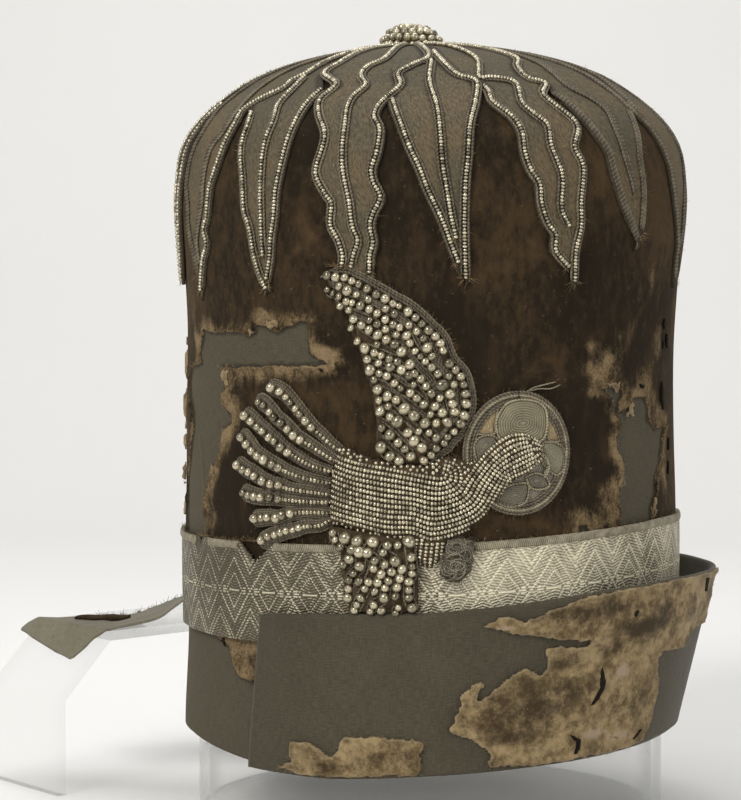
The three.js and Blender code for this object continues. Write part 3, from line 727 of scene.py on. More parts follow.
# Length round the hat, height, half width, half height and strength
WORN_SPOTS = [
    (-119, 196, 3, 7.5, 0.9), (-70, 197, 2.3, 1.9, 1), (-62, 195, 3, 2.3, 1), (-54, 195, 3, 1.9, 0.7),
    (-75, 192, 1.9, 1.5, 0.8), (-40, 183, 5.3, 2.3, 0.9), (-89, 175, 2.6, 3.4, 0.8),
    (-84, 168, 5.3, 4.5, 0.5), (-89, 152, 3, 5.3, 0.7), (-97, 139, 2.6, 4.5, 0.8),
    (-100, 129, 2.6, 5.3, 0.8), (-95, 120, 3.8, 3, 0.8), (-84, 123, 4.5, 3.8, 0.45),
    (-69, 174, 1.9, 1.5, 0.6), (-53, 175, 3, 3, 0.4), (-137, 169, 1.1, 4.5, 0.8),
    (-136, 151, 1.1, 4.5, 0.9), (-114, 183, 1.9, 4.5, 0.8), (98, 209, 1.5, 4.3, 0.6),
    (90, 200, 1.9, 4.3, 0.6), (86, 194, 1.9, 3.4, 0.5), (79, 187, 3.4, 3, 0.9), (64, 186, 3.4, 2.1, 0.7),
    (70, 177, 6.9, 3, 0.8), (74, 182, 3.4, 2.6, 0.8), (62, 177, 3.4, 2.1, 0.4), (97, 173, 3.9, 5.1, 0.9),
    (111, 160, 3.9, 5.1, 0.9), (81, 163, 3, 2.1, 0.9), (73, 132, 3.9, 3.9, 1), (74, 125, 3.9, 3, 0.8),
    (69, 120, 4.3, 1.9, 0.8), (79, 145, 2.1, 2.1, 0.8), (116, 130, 3, 6.9, 0.7), (108, 188, 3, 5.1, 0.6),
    (67, 169, 4.3, 1.2, 0.8), (30, 194, 3.4, 2.6, 0.3), (25, 188, 8.6, 0.7, 0.4), (53, 182, 2.1, 2.1, 0.35),
    (30, 173, 5.1, 1, 0.5), (-90, 75, 7, 5, 0.9), (-72, 72, 8, 8, 0.8), (190, 200, 8, 4, 0.8),
    (236, 160, 4, 9, 0.8), (205, 116, 9, 4, 0.8), (104, 190, 10, 22, 0.42), (84, 206, 9, 14, 0.3),
    (-122, 214, 8, 16, 0.35), (60, 128, 9, 7, 0.3),
]


def nearest_along(across, height, start, end):
    """How far along a straight stretch each point's nearest place is, and the square of the gap."""
    (ax, ay), (bx, by) = start, end
    length = (bx - ax) ** 2 + (by - ay) ** 2 + TINY
    t = np.clip(((across - ax) * (bx - ax) + (height - ay) * (by - ay)) / length, 0, 1)
    return t, (across - ax - t * (bx - ax)) ** 2 + (height - ay - t * (by - ay)) ** 2


def within(across, height, outline):
    """How far inside an outline each point lies, negative outside it."""
    ends = np.array(outline, float)
    nearest = np.full(across.shape, np.inf)
    inside = np.zeros(across.shape, bool)
    for start, end in zip(np.roll(ends, 1, axis=0), ends):
        nearest = np.minimum(nearest, nearest_along(across, height, start, end)[1])
        (ax, ay), (bx, by) = start, end
        crosses = (ay > height) != (by > height)
        level_step = by - ay if abs(by - ay) > TINY else TINY
        inside ^= crosses & (across < (bx - ax) * (height - ay) / level_step + ax)
    return np.where(inside, 1, -1) * np.sqrt(nearest)


def velvet_left_at(across, height):
    """How far the velvet reaches past each point before it is torn away; negative on bare silk."""
    left = -within(across, height, SILK_BARE_LEFT)
    right = -within(across, height, SILK_BARE_RIGHT)
    spot = -within(across, height, SILK_BARE_SPOT)
    behind = -within(across, height, SILK_BARE_BEHIND)
    below = np.maximum(height - 92, within(across, height, VELVET_LEFT_UNDER_BAND))
    return np.minimum.reduce([left, right, spot, behind, below])


def worn_at(across, height):
    total = 0
    for spot_across, spot_height, wide, tall, strength in WORN_SPOTS:
        far = ((across - spot_across) / wide) ** 2 + ((height - spot_height) / tall) ** 2
        total = total + strength * np.exp(-far * 0.4)
    return total


# Crown cloth: velvet over silk, torn through to the silk, with a lining inside
VELVET_THICK = 0.8
TEAR_CURL = 0.4


def ripple(across, height):
    """Slight folds where the cloth has slackened."""
    tall = 0.22 * np.sin(across / 9 + 0.8 * np.sin(height / 31)) * smooth_step(60, 120, height)
    long = 0.18 * np.sin(height / 13 + across / 27)
    return (tall + long) * (1 - smooth_step(225, 260, height))


# Ridges in the cloth: points along each, its height and its width
CREASES = [
    ([(-60, 179.8), (-34, 179.6), (-21, 180.4)], 0.45, 0.9), ([(-26, 176), (-23, 160), (-21, 142)],
     0.4, 1.2), ([(98, 209), (86, 196), (74, 182)], 0.5, 2.2), ([(52, 218), (40, 190), (30, 172)],
     0.25, 2.5), ([(-120, 196), (-104, 205), (-88, 203)], 0.4, 2), ([(-112, 150), (-107, 132), (-109, 122)],
     0.5, 1.4),
]


def line_far(across, height, points):
    """How far each point lies from an open line."""
    gaps = [nearest_along(across, height, *ends)[1] for ends in zip(points, points[1:])]
    return np.sqrt(np.minimum.reduce(gaps))


def curl_at(across, height):
    """How much a torn edge lifts, more in some places than in others."""
    sway = np.sin(across / 2.7 + 1.3 * np.sin(height / 3.1)) * np.sin(height / 3.9 + across / 7.3)
    return TEAR_CURL + 0.9 * np.maximum(sway, 0) ** 2


# How far the cloth stands out at its lower left
FLARE = 2.4
# The cloth is divided finely to this bearing on both sides, and between these lengths down from its top
FRONT_REACH = 94
TORN_FROM, TORN_TO = 172, 296
WHOLE_CLOTH = 20.0


def crown_cloth():
    front = np.linspace(-FRONT_REACH, FRONT_REACH, 296, endpoint=False)
    back = np.linspace(FRONT_REACH, 360 - FRONT_REACH, 66, endpoint=False)
    bearings = np.concatenate([front, back])
    signed = (bearings + 180) % 360 - 180
    hem = along_at_height(hem_at(signed) + 1.6)
    upper = np.linspace(2, TORN_FROM, 58, endpoint=False)
    torn = np.linspace(TORN_FROM, TORN_TO, 132, endpoint=False)
    head = np.concatenate([upper, torn])
    lower = np.linspace(0, 1, 44)
    along = np.vstack([
        np.repeat(head[:, None], len(bearings), 1),
        TORN_TO + (hem[None, :] - TORN_TO) * lower[:, None],
    ])
    across = np.radians(signed)[None, :] * HEAD_RADIUS + np.zeros_like(along)
    height = np.interp(along, PROFILE_RUN, PROFILE[:, 1])
    round_back = np.where(across < -150, across + 2 * math.pi * HEAD_RADIUS, across)
    edge = velvet_left_at(round_back, height)
    curl = curl_at(across, height) * np.exp(-((edge - 0.8) / 0.9) ** 2)
    lift = -VELVET_THICK * (1 - smooth_step(-0.3, 0.5, edge)) + curl
    for points, high, wide in CREASES:
        lift = lift + high * np.exp(-(line_far(across, height, points) / wide) ** 2)
    lift = lift + ripple(across, height) * smooth_step(-2, 3, edge)
    flare = FLARE * np.exp(-((signed + 92) / 24) ** 2)[None, :] * (1 - smooth_step(30, 78, height))
    lift = lift + flare
    outer = on_crown(bearings[None, :], along, lift - 0.05)
    picked = np.linspace(0, len(along) - 1, 26).astype(int)
    inner = on_crown(bearings[None, :], along[picked], flare[picked] - CLOTH_WALL)
    rows, columns = along.shape
    top = on_crown(0, 0, 0)[None]
    under = on_crown(0, 0, -CLOTH_WALL)[None]
    points = np.vstack([outer.reshape(-1, 3), inner.reshape(-1, 3), top, under])
    start = rows * columns
    outer_faces = grid_faces(rows, columns, closed=True).tolist()
    inner_faces = grid_faces(len(picked), columns, start, closed=True)[:, ::-1].tolist()
    last_outer = (rows - 1) * columns
    last_inner = start + (len(picked) - 1) * columns
    for j in range(columns):
        k = (j + 1) % columns
        outer_faces.append((len(points) - 2, j, k))
        inner_faces.append((last_outer + j, last_inner + j, last_inner + k, last_outer + k))
        inner_faces.append((len(points) - 1, start + k, start + j))
    whole = np.full(len(points) - start, WHOLE_CLOTH)
    fields = {
        "velvet_edge": np.concatenate([edge.ravel(), whole]),
        "worn": np.concatenate([worn_at(round_back, height).ravel(), whole * 0]),
    }
    map_mm = np.zeros((len(points), 2))
    map_mm[:start] = np.stack([across, along], -1).reshape(-1, 2)
    map_mm[start:-2] = np.stack([across[picked], along[picked]], -1).reshape(-1, 2)
    marks = [0] * len(outer_faces) + [1] * len(inner_faces)
    faces = outer_faces + inner_faces
    make_piece("crown_cloth", points, faces, [VELVET, LINING], "crown", fields, map_mm, marks)


crown_cloth()


# Beads, cords and threads
def unit(vectors):
    return vectors / np.maximum(np.linalg.norm(vectors, axis=-1, keepdims=True), 1e-12)


def ball_form(rings, around):
    """Points and faces of a round form of one unit radius, with its poles on z."""
    points = [(0, 0, 1)]
    for i in range(1, rings + 1):
        tip = math.pi * i / (rings + 1)
        for j in range(around):
            turn = 2 * math.pi * (j + 0.5 * (i % 2)) / around
            points.append((math.sin(tip) * math.cos(turn), math.sin(tip) * math.sin(turn), math.cos(tip)))
    points.append((0, 0, -1))
    last = len(points) - 1
    faces = []
    for j in range(around):
        k = (j + 1) % around
        faces.append((0, 1 + j, 1 + k))
        faces.append((last, last - around + k, last - around + j))
        for i in range(rings - 1):
            a = 1 + i * around
            b = a + around
            if i % 2:
                faces.extend([(a + j, b + j, a + k), (a + k, b + j, b + k)])
            else:
                faces.extend([(a + j, b + j, b + k), (a + j, b + k, a + k)])
    return np.array(points), np.array(faces)


SEED_FORM = ball_form(4, 7)
SMALL_SEED_FORM = ball_form(3, 6)
PEARL_FORM = ball_form(7, 12)


def on_dome(u, v, lift):
    """Points on the crown from a flat chart of it: u to the right and v to the front of its top centre."""
    return on_crown(np.degrees(np.arctan2(u, v)), np.hypot(u, v), lift)


def dome_chart(points):
    """Lengths down from the top and bearings, laid out on the flat chart."""
    return np.array([(s * math.sin(math.radians(b)), s * math.cos(math.radians(b))) for s, b in points])


def footing(surface, points):
    """Where a line's points lie on a surface, with the ways along and off it."""
    low = surface(*points.T, 0.0)
    up = unit(surface(*points.T, 1.0) - low)
    return low, unit(np.gradient(low, axis=0)), up


def lay(surface, points, pitch, lift=0.0, side=0.0, smooth=10):
    """Evenly spaced places along a smooth line on a surface, with the ways along and off it."""
    low, along, up = footing(surface, smooth_line(points, smooth))
    path = low + (up * lift + np.cross(along, up) * side) * MM
    run = run_lengths(path)
    at = np.linspace(0, run[-1], max(2, int(run[-1] / (pitch * MM)) + 1))
    path, along, up = (resample(line, run, at) for line in (path, along, up))
    return path, unit(along), unit(up)


def add_beads(gather, line, wide, thick, form, uneven=0.08):
    """Beads along a line, each flattened along its own thread and a little lumpy."""
    centres, along, up = line
    points, faces = form
    count = len(centres)
    if not count:
        return
    ways = np.stack([np.cross(along, up), up, along], 1)
    sizes = np.stack(np.broadcast_arrays(wide, wide, thick, np.zeros(count))[:3], -1) / 2 * MM
    sizes = sizes * (1 + chance.uniform(-uneven, uneven, (count, 3)))
    placed = centres[:, None] + np.einsum("pk,nk,nkd->npd", points, sizes, ways)
    lumps = unit(chance.normal(size=(count, 2, 3)))
    first, second = (np.einsum("pk,nk->np", points, lumps[:, k]) for k in range(2))
    bulge = np.sin(2.2 * first + 1) * second
    placed = centres[:, None] + (placed - centres[:, None]) * (1 + 0.1 * bulge)[..., None]
    joined = faces[None] + (np.arange(count) * len(points))[:, None, None]
    gather.add(placed, joined.reshape(-1, 3), tone=np.repeat(chance.random(count), len(points)))


def add_cord(gather, line, radius, sides=6, tone=0.5):
    """A twisted cord along a line, carrying the run and the turn that its twist follows."""
    centres, along, up = line
    rows = len(centres)
    if rows < 3:
        return
    side = np.cross(along, up)
    turn = np.arange(sides + 1) / sides
    angle = turn * 2 * math.pi - math.pi / 2
    shape = np.full(rows, radius)
    shape[0] = shape[-1] = radius * 0.45
    ring = side[:, None] * np.cos(angle)[None, :, None] + up[:, None] * np.sin(angle)[None, :, None]
    points = centres[:, None] + ring * (shape * MM)[:, None, None]
    run = np.repeat(run_lengths(centres) / MM, sides + 1)
    faces = grid_faces(rows, sides + 1)
    gather.add(points, faces, run=run, turn=np.tile(turn, rows), tone=tone + chance.uniform(-0.2, 0.2))


HAIR_FACES = grid_faces(4, 3, closed=True).tolist() + [[0, 1, 2], [9, 11, 10]]


def add_hairs(gather, starts, ways, length, width=0.11):
    """Fine stray threads that stand off the work, thinning to their ends."""
    for start, way in zip(starts, ways):
        bend = unit(chance.normal(size=3)) * chance.uniform(0.2, 0.7)
        aside = unit(np.cross(way, chance.normal(size=3)))
        across = np.cross(way, aside)
        reach = length * chance.uniform(0.5, 1.3) * MM
        points = []
        for t in (0, 0.4, 0.75, 1):
            middle = start + (way * t + bend * t * t) * reach
            thin = width * (1 - 0.75 * t) * MM
            for turn in (0.0, 2.1, 4.2):
                points.append(middle + (aside * math.cos(turn) + across * math.sin(turn)) * thin)
        gather.add(points, HAIR_FACES, tone=chance.random())


class Ground:
    """Remembers where beads lie, so that a string stops where it meets another."""

    def __init__(self):
        self.laid = np.zeros((0, 3))

    def clear(self, centres, gap):
        if not len(self.laid):
            return np.ones(len(centres), bool)
        far = np.linalg.norm(centres[:, None] - self.laid[None], axis=-1).min(axis=1)
        return far > gap * MM

    def keep(self, centres):
        self.laid = np.vstack([self.laid, centres])


def longest(mask):
    """The longest unbroken stretch of a mask, as a slice."""
    best = start = 0
    span = slice(0, 0)
    for i, on in enumerate(list(mask) + [False]):
        if not on:
            if i - start > best:
                best = i - start
                span = slice(start, i)
            start = i + 1
    return span


def cut(line, pick):
    return tuple(part[pick] for part in line)


def nearest_on(across, height, outline):
    """The nearest point of an outline to each point."""
    ends = np.array(outline, float)
    best = np.full(across.shape, np.inf)
    found_across, found_height = across.copy(), height.copy()
    for start, end in zip(np.roll(ends, 1, axis=0), ends):
        t, far = nearest_along(across, height, start, end)
        closer = far < best
        best = np.where(closer, far, best)
        found_across = np.where(closer, start[0] + t * (end[0] - start[0]), found_across)
        found_height = np.where(closer, start[1] + t * (end[1] - start[1]), found_height)
    return found_across, found_height


def grown(outline, by):
    """An outline moved outwards by a length."""
    points = np.array(outline, float)
    before, after = np.roll(points, 1, axis=0), np.roll(points, -1, axis=0)
    way = unit(after - before)
    area = np.sum(before[:, 0] * points[:, 1] - points[:, 0] * before[:, 1])
    return points + np.stack([way[:, 1], -way[:, 0]], -1) * by * (1 if area > 0 else -1)


def ragged(outline, size, spacing=1.4):
    """An outline drawn with more points, each moved a little, as a torn edge."""
    ring = np.vstack([np.array(outline, float), [outline[0]]])
    run = run_lengths(ring)
    points = resample(ring, run, np.arange(0, run[-1], spacing))
    return points + chance.normal(0, size, points.shape)


def patch(name, outline, step, rise, finish, node=None, surface=on_wall, low=0.1, soft=None):
    """A closed piece that fills an outline, rising from its rim as rise(depth, across, height) says."""
    outline = np.array(outline, float)
    start, end = outline.min(axis=0) - step, outline.max(axis=0) + step
    across, height = np.meshgrid(*(np.arange(start[k], end[k], step) for k in range(2)), indexing="ij")
    depth = within(across, height, outline)
    edge_across, edge_height = nearest_on(across, height, outline)
    outside = depth < 0
    across = np.where(outside, edge_across, across)
    height = np.where(outside, edge_height, height)
    kept = depth > -0.7 * step
    quads = grid_faces(*kept.shape)
    quads = quads[kept.ravel()[quads].all(axis=1)]
    used, quads = np.unique(quads, return_inverse=True)
    quads = quads.reshape(-1, 4)
    across, height, depth = across.ravel()[used], height.ravel()[used], np.maximum(depth.ravel()[used], 0)
    top = surface(across, height, rise(depth, across, height))
    bottom = surface(across, height, low)
    count = len(used)
    edges = np.vstack([quads[:, [k, (k + 1) % 4]] for k in range(4)])
    known = {(int(a), int(b)) for a, b in edges}
    rim = np.array([(a, b) for a, b in known if (b, a) not in known])
    sides = np.stack([rim[:, 1], rim[:, 0], rim[:, 0] + count, rim[:, 1] + count], -1)
    faces = np.vstack([quads, quads[:, ::-1] + count, sides])
    fields = {"deep": np.concatenate([depth, depth * 0]), "worn": np.zeros(2 * count)}
    if soft is not None:
        fields["worn"] = np.concatenate([soft(across, height), np.zeros(count)])
    map_mm = np.tile(np.stack([across, height], -1), (2, 1))
    return make_piece(name, np.vstack([top, bottom]), faces, [finish], node, fields, map_mm)


def rounded(relief, edge, base=0.9):
    """A padded rise from the rim to its full relief over a width of edge."""
    def rise(depth, across, height):
        t = 1 - np.clip(depth / edge, 0, 1)
        return base + relief * np.sqrt(np.maximum(1 - t * t, 0))
    return rise


def level(lift):
    """A flat rise."""
    return lambda depth, across, height: lift + 0 * depth


# Sunburst of silk rays, outlined with strings of seed pearls between twisted cords
RAY_COUNT = 16
FIRST_BACK_RAY = 8
# How finely the rays are worked in front and behind: beads, steps of a cord, and stray threads
FRONT_WORK = {"pitch": 1, "form": SEED_FORM, "step": 2, "threads": 26, "tip_threads": 14}
BACK_WORK = {"pitch": 1.18, "form": SMALL_SEED_FORM, "step": 3, "threads": 12, "tip_threads": 6}
STRING_GAP = 2.3
CORD_GAP = 1.5
FEWEST_BEADS = 6
BUTTON_FOOT = 12.5
SEED = {"wide": 1.75, "pitch": 1.22}
CORD_RADIUS = 0.48
CORD_ASIDE = 1.42
RAY_LIFT = 1.2
RAY_MARGIN = 2.1
# Each string: its kind, whether it runs up to the button, then length down from the top and bearing
FRONT_STRINGS = {
    "1L": ("cords", True, [(60, -66), (80, -68), (93, -68), (104, -66), (114, -68), (124, -69), (134, -67),
      (142, -67), (150, -65), (160, -62)]),
    "1R": ("pearls", True, [(57, -38.6), (74.5, -38.9), (80, -41.7), (85, -41.7), (89, -45.1), (93, -48.7),
      (97.5, -50.8), (102.5, -50.1), (110, -50.9), (116.5, -52.3), (123, -54.1), (127.5, -55.2),
      (138, -56.3), (143, -57.9), (148.5, -56.9), (155, -59.3), (165.5, -61.1)]),
    "3L": ("pearls", True, [(51.5, -32.8), (67, -30.8), (76.5, -31.8), (85.5, -24.9), (94.5, -26.7),
      (102, -25.2), (109.5, -22.7), (115, -22.8), (122, -24), (126, -23.7), (132, -21.6), (135, -20.4),
      (142.5, -20.7), (148, -19.1), (153.5, -18.2), (157.5, -18.5)]),
    "3R": ("pearls", True, [(62.5, -0.6), (71.5, -5.1), (78.5, -8.8), (86.5, -7.5), (92, -9.2), (98, -11.6),
      (103.5, -12.2), (109, -10.6), (117, -11), (123, -12), (127.5, -11.6), (133, -10.1), (138.5, -11.6),
      (143, -12.3), (149, -11.7), (153.5, -12.4), (159.5, -12.5)]),
    "4R": ("pearls", True, [(61.5, 2.4), (74, 5.2), (80.5, 7.7), (84.5, 11.8), (97, 10.2), (107.5, 8.3),
      (119.5, 7.6), (127.5, 7.1), (138.5, 6.9), (150, 7), (161.5, 7.3)]),
    "5R": ("pearls", True, [(59, 32.9), (72, 27.2), (80.5, 27.4), (83.5, 31.8), (91, 28.4), (98, 30.5),
      (103.5, 33.2), (108, 33.4), (114.5, 31.6), (121.5, 33.4), (134, 32.5), (142.5, 32.7), (152, 31.6),
      (162.5, 31.6)]),
    "7L": ("cords", True, [(60, 53), (80, 56), (95.5, 56.9), (104, 60.3), (112, 62.8), (120, 65.7),
      (130, 67.2), (138.5, 69.5), (147.5, 71.7), (155, 70.9), (161, 70.9)]),
    "7R": ("cords", True, [(60, 78), (80, 79), (93, 79), (104, 77), (114, 80), (124, 79), (134, 76),
      (142, 76), (150, 73), (160, 71.5)]),
    "2L": ("pearls", False, [(99, -46), (105, -44.6), (110.5, -44.6), (117, -44.2), (127, -42.9),
      (136.5, -42.4), (143.5, -40.9), (150.5, -40.3), (157, -39.3), (162, -38.1), (165, -37.1)]),
    "2R": ("pearls", False, [(88.5, -28.2), (95.5, -29.8), (106, -30.9), (115, -31.9), (123, -32.9),
      (130.5, -33.7), (139, -34.2), (147, -35.2), (154, -35.7), (161, -36.7), (165, -37.3)]),
    "4L": ("pearls", False, [(93.5, -9.1), (102.5, -7.2), (114.5, -4.4), (123, -2.1), (131, -0.3),
      (140.5, 2.3), (150.5, 4.5), (161.5, 7)]),
    "5L": ("pearls", False, [(85, 11.8), (89.5, 13.9), (96, 14.1), (99.5, 15.7), (104, 18.1), (109.5, 19.5),
      (116.5, 19.7), (123, 20.9), (128, 22.8), (135, 23.2), (142, 24.8), (146, 26.7), (152, 26.8),
      (158, 30.4)]),
    "6L": ("cords", False, [(89, 31.9), (95.5, 34.8), (102.5, 36.9), (109.5, 39), (116, 41.3),
      (124.5, 42.4), (133.5, 44.6), (141, 47.4), (147, 49.7)]),
    "6R": ("cords", False, [(92.5, 56.8), (100.5, 54), (109.5, 52.1), (116.5, 51.1), (127, 51.6),
      (136, 51.4), (144, 51), (148, 50.2)]),
    "1M": ("cords", True, [(60, -52), (82, -55), (104, -53.5), (109.5, -55.9), (114.5, -57.7),
      (121.5, -58.7), (127.5, -58.8), (133.5, -59), (140.5, -60.7), (147.5, -62.4), (153.5, -61.8),
      (159.5, -60.9)]),
    "2M": ("pearls", True, [(63, -37.8), (77, -37.9), (87, -37.9), (95.5, -38.4), (104, -37), (111, -37.4),
      (117.5, -37.7), (127.5, -37.7), (138, -37.6), (146.5, -37.6), (153, -37.5)]),
    "3M": ("pearls", True, [(54.5, -15.9), (65.5, -15.7), (72.5, -18.9), (79.5, -19.2), (86.5, -16.5),
      (93, -18.4), (99, -18.9), (107, -18.4), (118, -18.3), (124.5, -17.9), (134.5, -16.6), (143, -16),
      (148, -14.9), (153.5, -15.9), (157.5, -16.4)]),
    "4M": ("pearls", True, [(64, 0.3), (84, -0.2), (99.5, 1.5), (111, 2.1), (121.5, 2.5), (131, 3.4),
      (138.5, 4.1), (143.5, 4.7), (161.5, 6.9)]),
    "5M": ("pearls", True, [(63.5, 15.4), (75, 13.9), (82, 13.1), (81.5, 17), (84.5, 22.4), (96.5, 21.4),
      (102, 23.5), (106.5, 25.9), (113.5, 25.8), (119.5, 27), (125.5, 28.1), (136.5, 27.8), (142.5, 29.7)]),
    "6M": ("cords", True, [(60, 40), (82.5, 39.3), (90, 43.6), (97.5, 46), (106.5, 45.3), (117, 46.2),
      (125.5, 47.8), (131, 48.6)]),
    "7M": ("cords", True, [(60, 66), (80, 62), (99.5, 59.4), (107, 65.3), (115, 70.4), (124, 71),
      (132.5, 71.1), (140, 73)]),
}
# The string that a ray's edge follows down to its valley, where the edge's own string starts there
EDGE_FOLLOWS = {"2L": "1R", "2R": "3L", "4L": "3R", "5L": "4R", "6L": "5R", "6R": "7L"}
BACK_SHOULDERS = [89.7, 113.4, 137.1, 160.8, 184.5, 208.2, 231.9, 255.6, 279.3]
BACK_TIPS = [95.8, 118.7, 141.5, 164.3, 187.2, 210, 232.8, 255.6, 278.5]
BACK_HALF = 8.8
BACK_VALLEY = 89
BACK_REACH = {"straight": 164, "wavy": 166}
PLAIN_CORD_RAYS = (8, 11, 15)


def back_string(ray, side):
    """An edge or the middle of a ray behind, by rule: straight rays and wavy rays by turns."""
    shoulder, tip = BACK_SHOULDERS[ray - FIRST_BACK_RAY], BACK_TIPS[ray - FIRST_BACK_RAY]
    wavy = ray % 2 == 1
    reach = BACK_REACH["wavy" if wavy else "straight"]
    runs_up = side == 0 or wavy
    rows = []
    first = 50 if runs_up else BACK_VALLEY + 1
    for s in np.arange(first, reach + 0.1, 6.5):
        share = np.clip((s - BACK_VALLEY) / (reach - BACK_VALLEY), 0, 1)
        middle = shoulder + (tip - shoulder) * share
        half = BACK_HALF * (1 - share) ** (0.55 if wavy else 0.8) + 0.9
        sway = 1.1 * math.sin(s / 6.1 + ray) if wavy else 0.15 * math.sin(s / 9 + ray)
        middle_half = half if s > BACK_VALLEY else BACK_HALF + 2.4
        rows.append((float(s), float(middle + side * middle_half + sway)))
    if side == 0:
        rows = rows[:-2]
    return ("cords" if ray in PLAIN_CORD_RAYS else "pearls", runs_up, rows)


STRINGS = dict(FRONT_STRINGS)
for back_ray in range(FIRST_BACK_RAY, RAY_COUNT + 1):
    for side_name, side_way in (("L", -1), ("R", 1), ("M", 0)):
        STRINGS[f"{back_ray}{side_name}"] = back_string(back_ray, side_way)
for back_ray in range(FIRST_BACK_RAY, RAY_COUNT + 1, 2):
    EDGE_FOLLOWS[f"{back_ray}L"] = f"{back_ray - 1}R"
    EDGE_FOLLOWS[f"{back_ray}R"] = f"{back_ray + 1}L" if back_ray < RAY_COUNT else "1L"


def charted(name):
    """A string's points on the flat chart of the dome, from the button where it runs up to it."""
    _, runs_up, rows = STRINGS[name]
    points = dome_chart(rows)
    if runs_up:
        hub = np.array((-BUTTON_LEFT, 0))
        away = points[0] - hub
        foot = hub + away / np.linalg.norm(away) * BUTTON_FOOT
        points = np.vstack([foot, foot * 0.45 + points[0] * 0.55, points])
    return points


def ray_edge(name):
    """The whole edge of a ray's silk, from the button down to its tip."""
    points = charted(name)
    if name not in EDGE_FOLLOWS:
        return points
    above = charted(EDGE_FOLLOWS[name])
    return np.vstack([above[np.hypot(*above.T) < np.hypot(*points[0]) - 3], points])


def ray_silk(ray, rows=84, columns=9):
    """The silk of one ray, a thin slab between its two edges."""
    sides = []
    for side in ("L", "R"):
        fine = smooth_line(ray_edge(f"{ray}{side}"), 8)
        end = fine[-1] + unit(fine[-1] - fine[-6]) * 2.2
        sides.append(evened(np.vstack([fine, end]), rows))
    left, right = sides
    down = np.hypot(*((left + right) / 2).T)
    spread = down / np.maximum(np.interp(down, PROFILE_RUN, PROFILE[:, 0]), 1)
    margin = (RAY_MARGIN * smooth_step(84, 96, down) * spread)[:, None] * unit(right - left)
    tidy = (1 - 0.35 * smooth_step(rows - 5, rows - 1, np.arange(rows)))[:, None]
    left = left - margin * tidy
    right = right + margin * tidy
    share = np.linspace(0, 1, columns)
    flat = left[:, None] + (right - left)[:, None] * share[None, :, None]
    sag = 1 - 0.35 * np.sin(share * math.pi)[None, :] + chance.normal(0, 0.04, (rows, columns))
    outer = on_dome(flat[..., 0], flat[..., 1], RAY_LIFT * sag)
    inner = on_dome(flat[..., 0], flat[..., 1], 0.05)
    loop = np.concatenate([outer, inner[:, ::-1]], axis=1)
    width = np.linalg.norm(outer[:, -1] - outer[:, 0], axis=-1) / MM
    deep = np.minimum(share, 1 - share)[None, :] * width[:, None]
    map_mm = np.stack(np.broadcast_arrays(share[None, :] * width[:, None], down[:, None]), -1)
    both = np.concatenate([map_mm, map_mm[:, ::-1]], axis=1)
    fields = {"deep": np.concatenate([deep, deep[:, ::-1]], axis=1), "down": np.repeat(down, 2 * columns)}
    faces = capped_faces(rows, 2 * columns)
    node = f"sun_ray_{ray:02d}"
    make_piece(f"ray_silk_{ray:02d}", loop.reshape(-1, 3), faces, [RAY_SILK], node, fields, both)


def rays():
    ground = Ground()
    # Edges before middles, strings that run up to the button first, and pearls before cords
    order = sorted(STRINGS, key=lambda n: (n[-1] == "M", not STRINGS[n][1], STRINGS[n][0] == "cords"))
    pearls = {ray: Gather() for ray in range(1, RAY_COUNT + 1)}
    cords = {ray: Gather() for ray in range(1, RAY_COUNT + 1)}
    hairs = Gather()
    for name in order:
        ray = int(name[:-1])
        work = FRONT_WORK if ray < FIRST_BACK_RAY else BACK_WORK
        pitch = SEED["pitch"] * work["pitch"]
        line = lay(on_dome, charted(name), pitch, RAY_LIFT + 0.5)
        line = cut(line, longest(ground.clear(line[0], STRING_GAP)))
        if len(line[0]) < FEWEST_BEADS:
            continue
        if STRINGS[name][0] == "pearls":
            add_beads(pearls[ray], line, SEED["wide"], pitch * 0.98, work["form"], 0.13)
            asides, radius = (-CORD_ASIDE, CORD_ASIDE), CORD_RADIUS
        else:
            asides, radius = (-1.0, 0.0, 1.0), 0.58
        for aside in asides:
            beside = line[0] + np.cross(line[1], line[2]) * aside * MM - line[2] * 0.35 * MM
            moved = cut((beside, line[1], line[2]), longest(ground.clear(beside, CORD_GAP)))
            step = work["step"] if len(moved[0]) > 12 else 1
            add_cord(cords[ray], cut(moved, slice(None, None, step)), radius)
        ground.keep(line[0])
        picks = chance.integers(0, len(line[0]), work["threads"])
        picks = np.concatenate([picks, np.full(work["tip_threads"], len(line[0]) - 1)])
        centres, along, up = cut(line, picks)
        way = np.cross(along, up) * chance.choice([-1, 1], len(picks))[:, None]
        way = unit(way + along * chance.uniform(-0.2, 1.4, len(picks))[:, None] + up * 0.35)
        starts = centres + way * 1.2 * MM - up * 0.5 * MM
        add_hairs(hairs, starts, way, 2.2)
    for ray in range(1, RAY_COUNT + 1):
        node = f"sun_ray_{ray:02d}"
        ray_silk(ray)
        cords[ray].piece(f"ray_cords_{ray:02d}", TWIST, "cord", node)
        if pearls[ray].count:
            pearls[ray].piece(f"ray_pearls_{ray:02d}", PEARL, "pearl", node)
    hairs.piece("ray_stray_threads", STRAY, "worn_velvet")


rays()


# Button of pearls on the top: radius and height of its base, then radius, height and size of each ring
BUTTON_BASE = [
    (11.9, 301.2), (11.2, 304), (10.6, 306.5), (8.4, 309), (5.6, 310.4), (2.8, 311.1), (0.6, 311.3),
]
BUTTON_RINGS = [
    (11.3, 303.8, 2.9), (11.0, 306.3, 3.2), (9.0, 308.7, 3.1), (6.3, 310.4, 2.7), (3.4, 311.3, 2.4),
    (0.4, 311.6, 2.6),
]


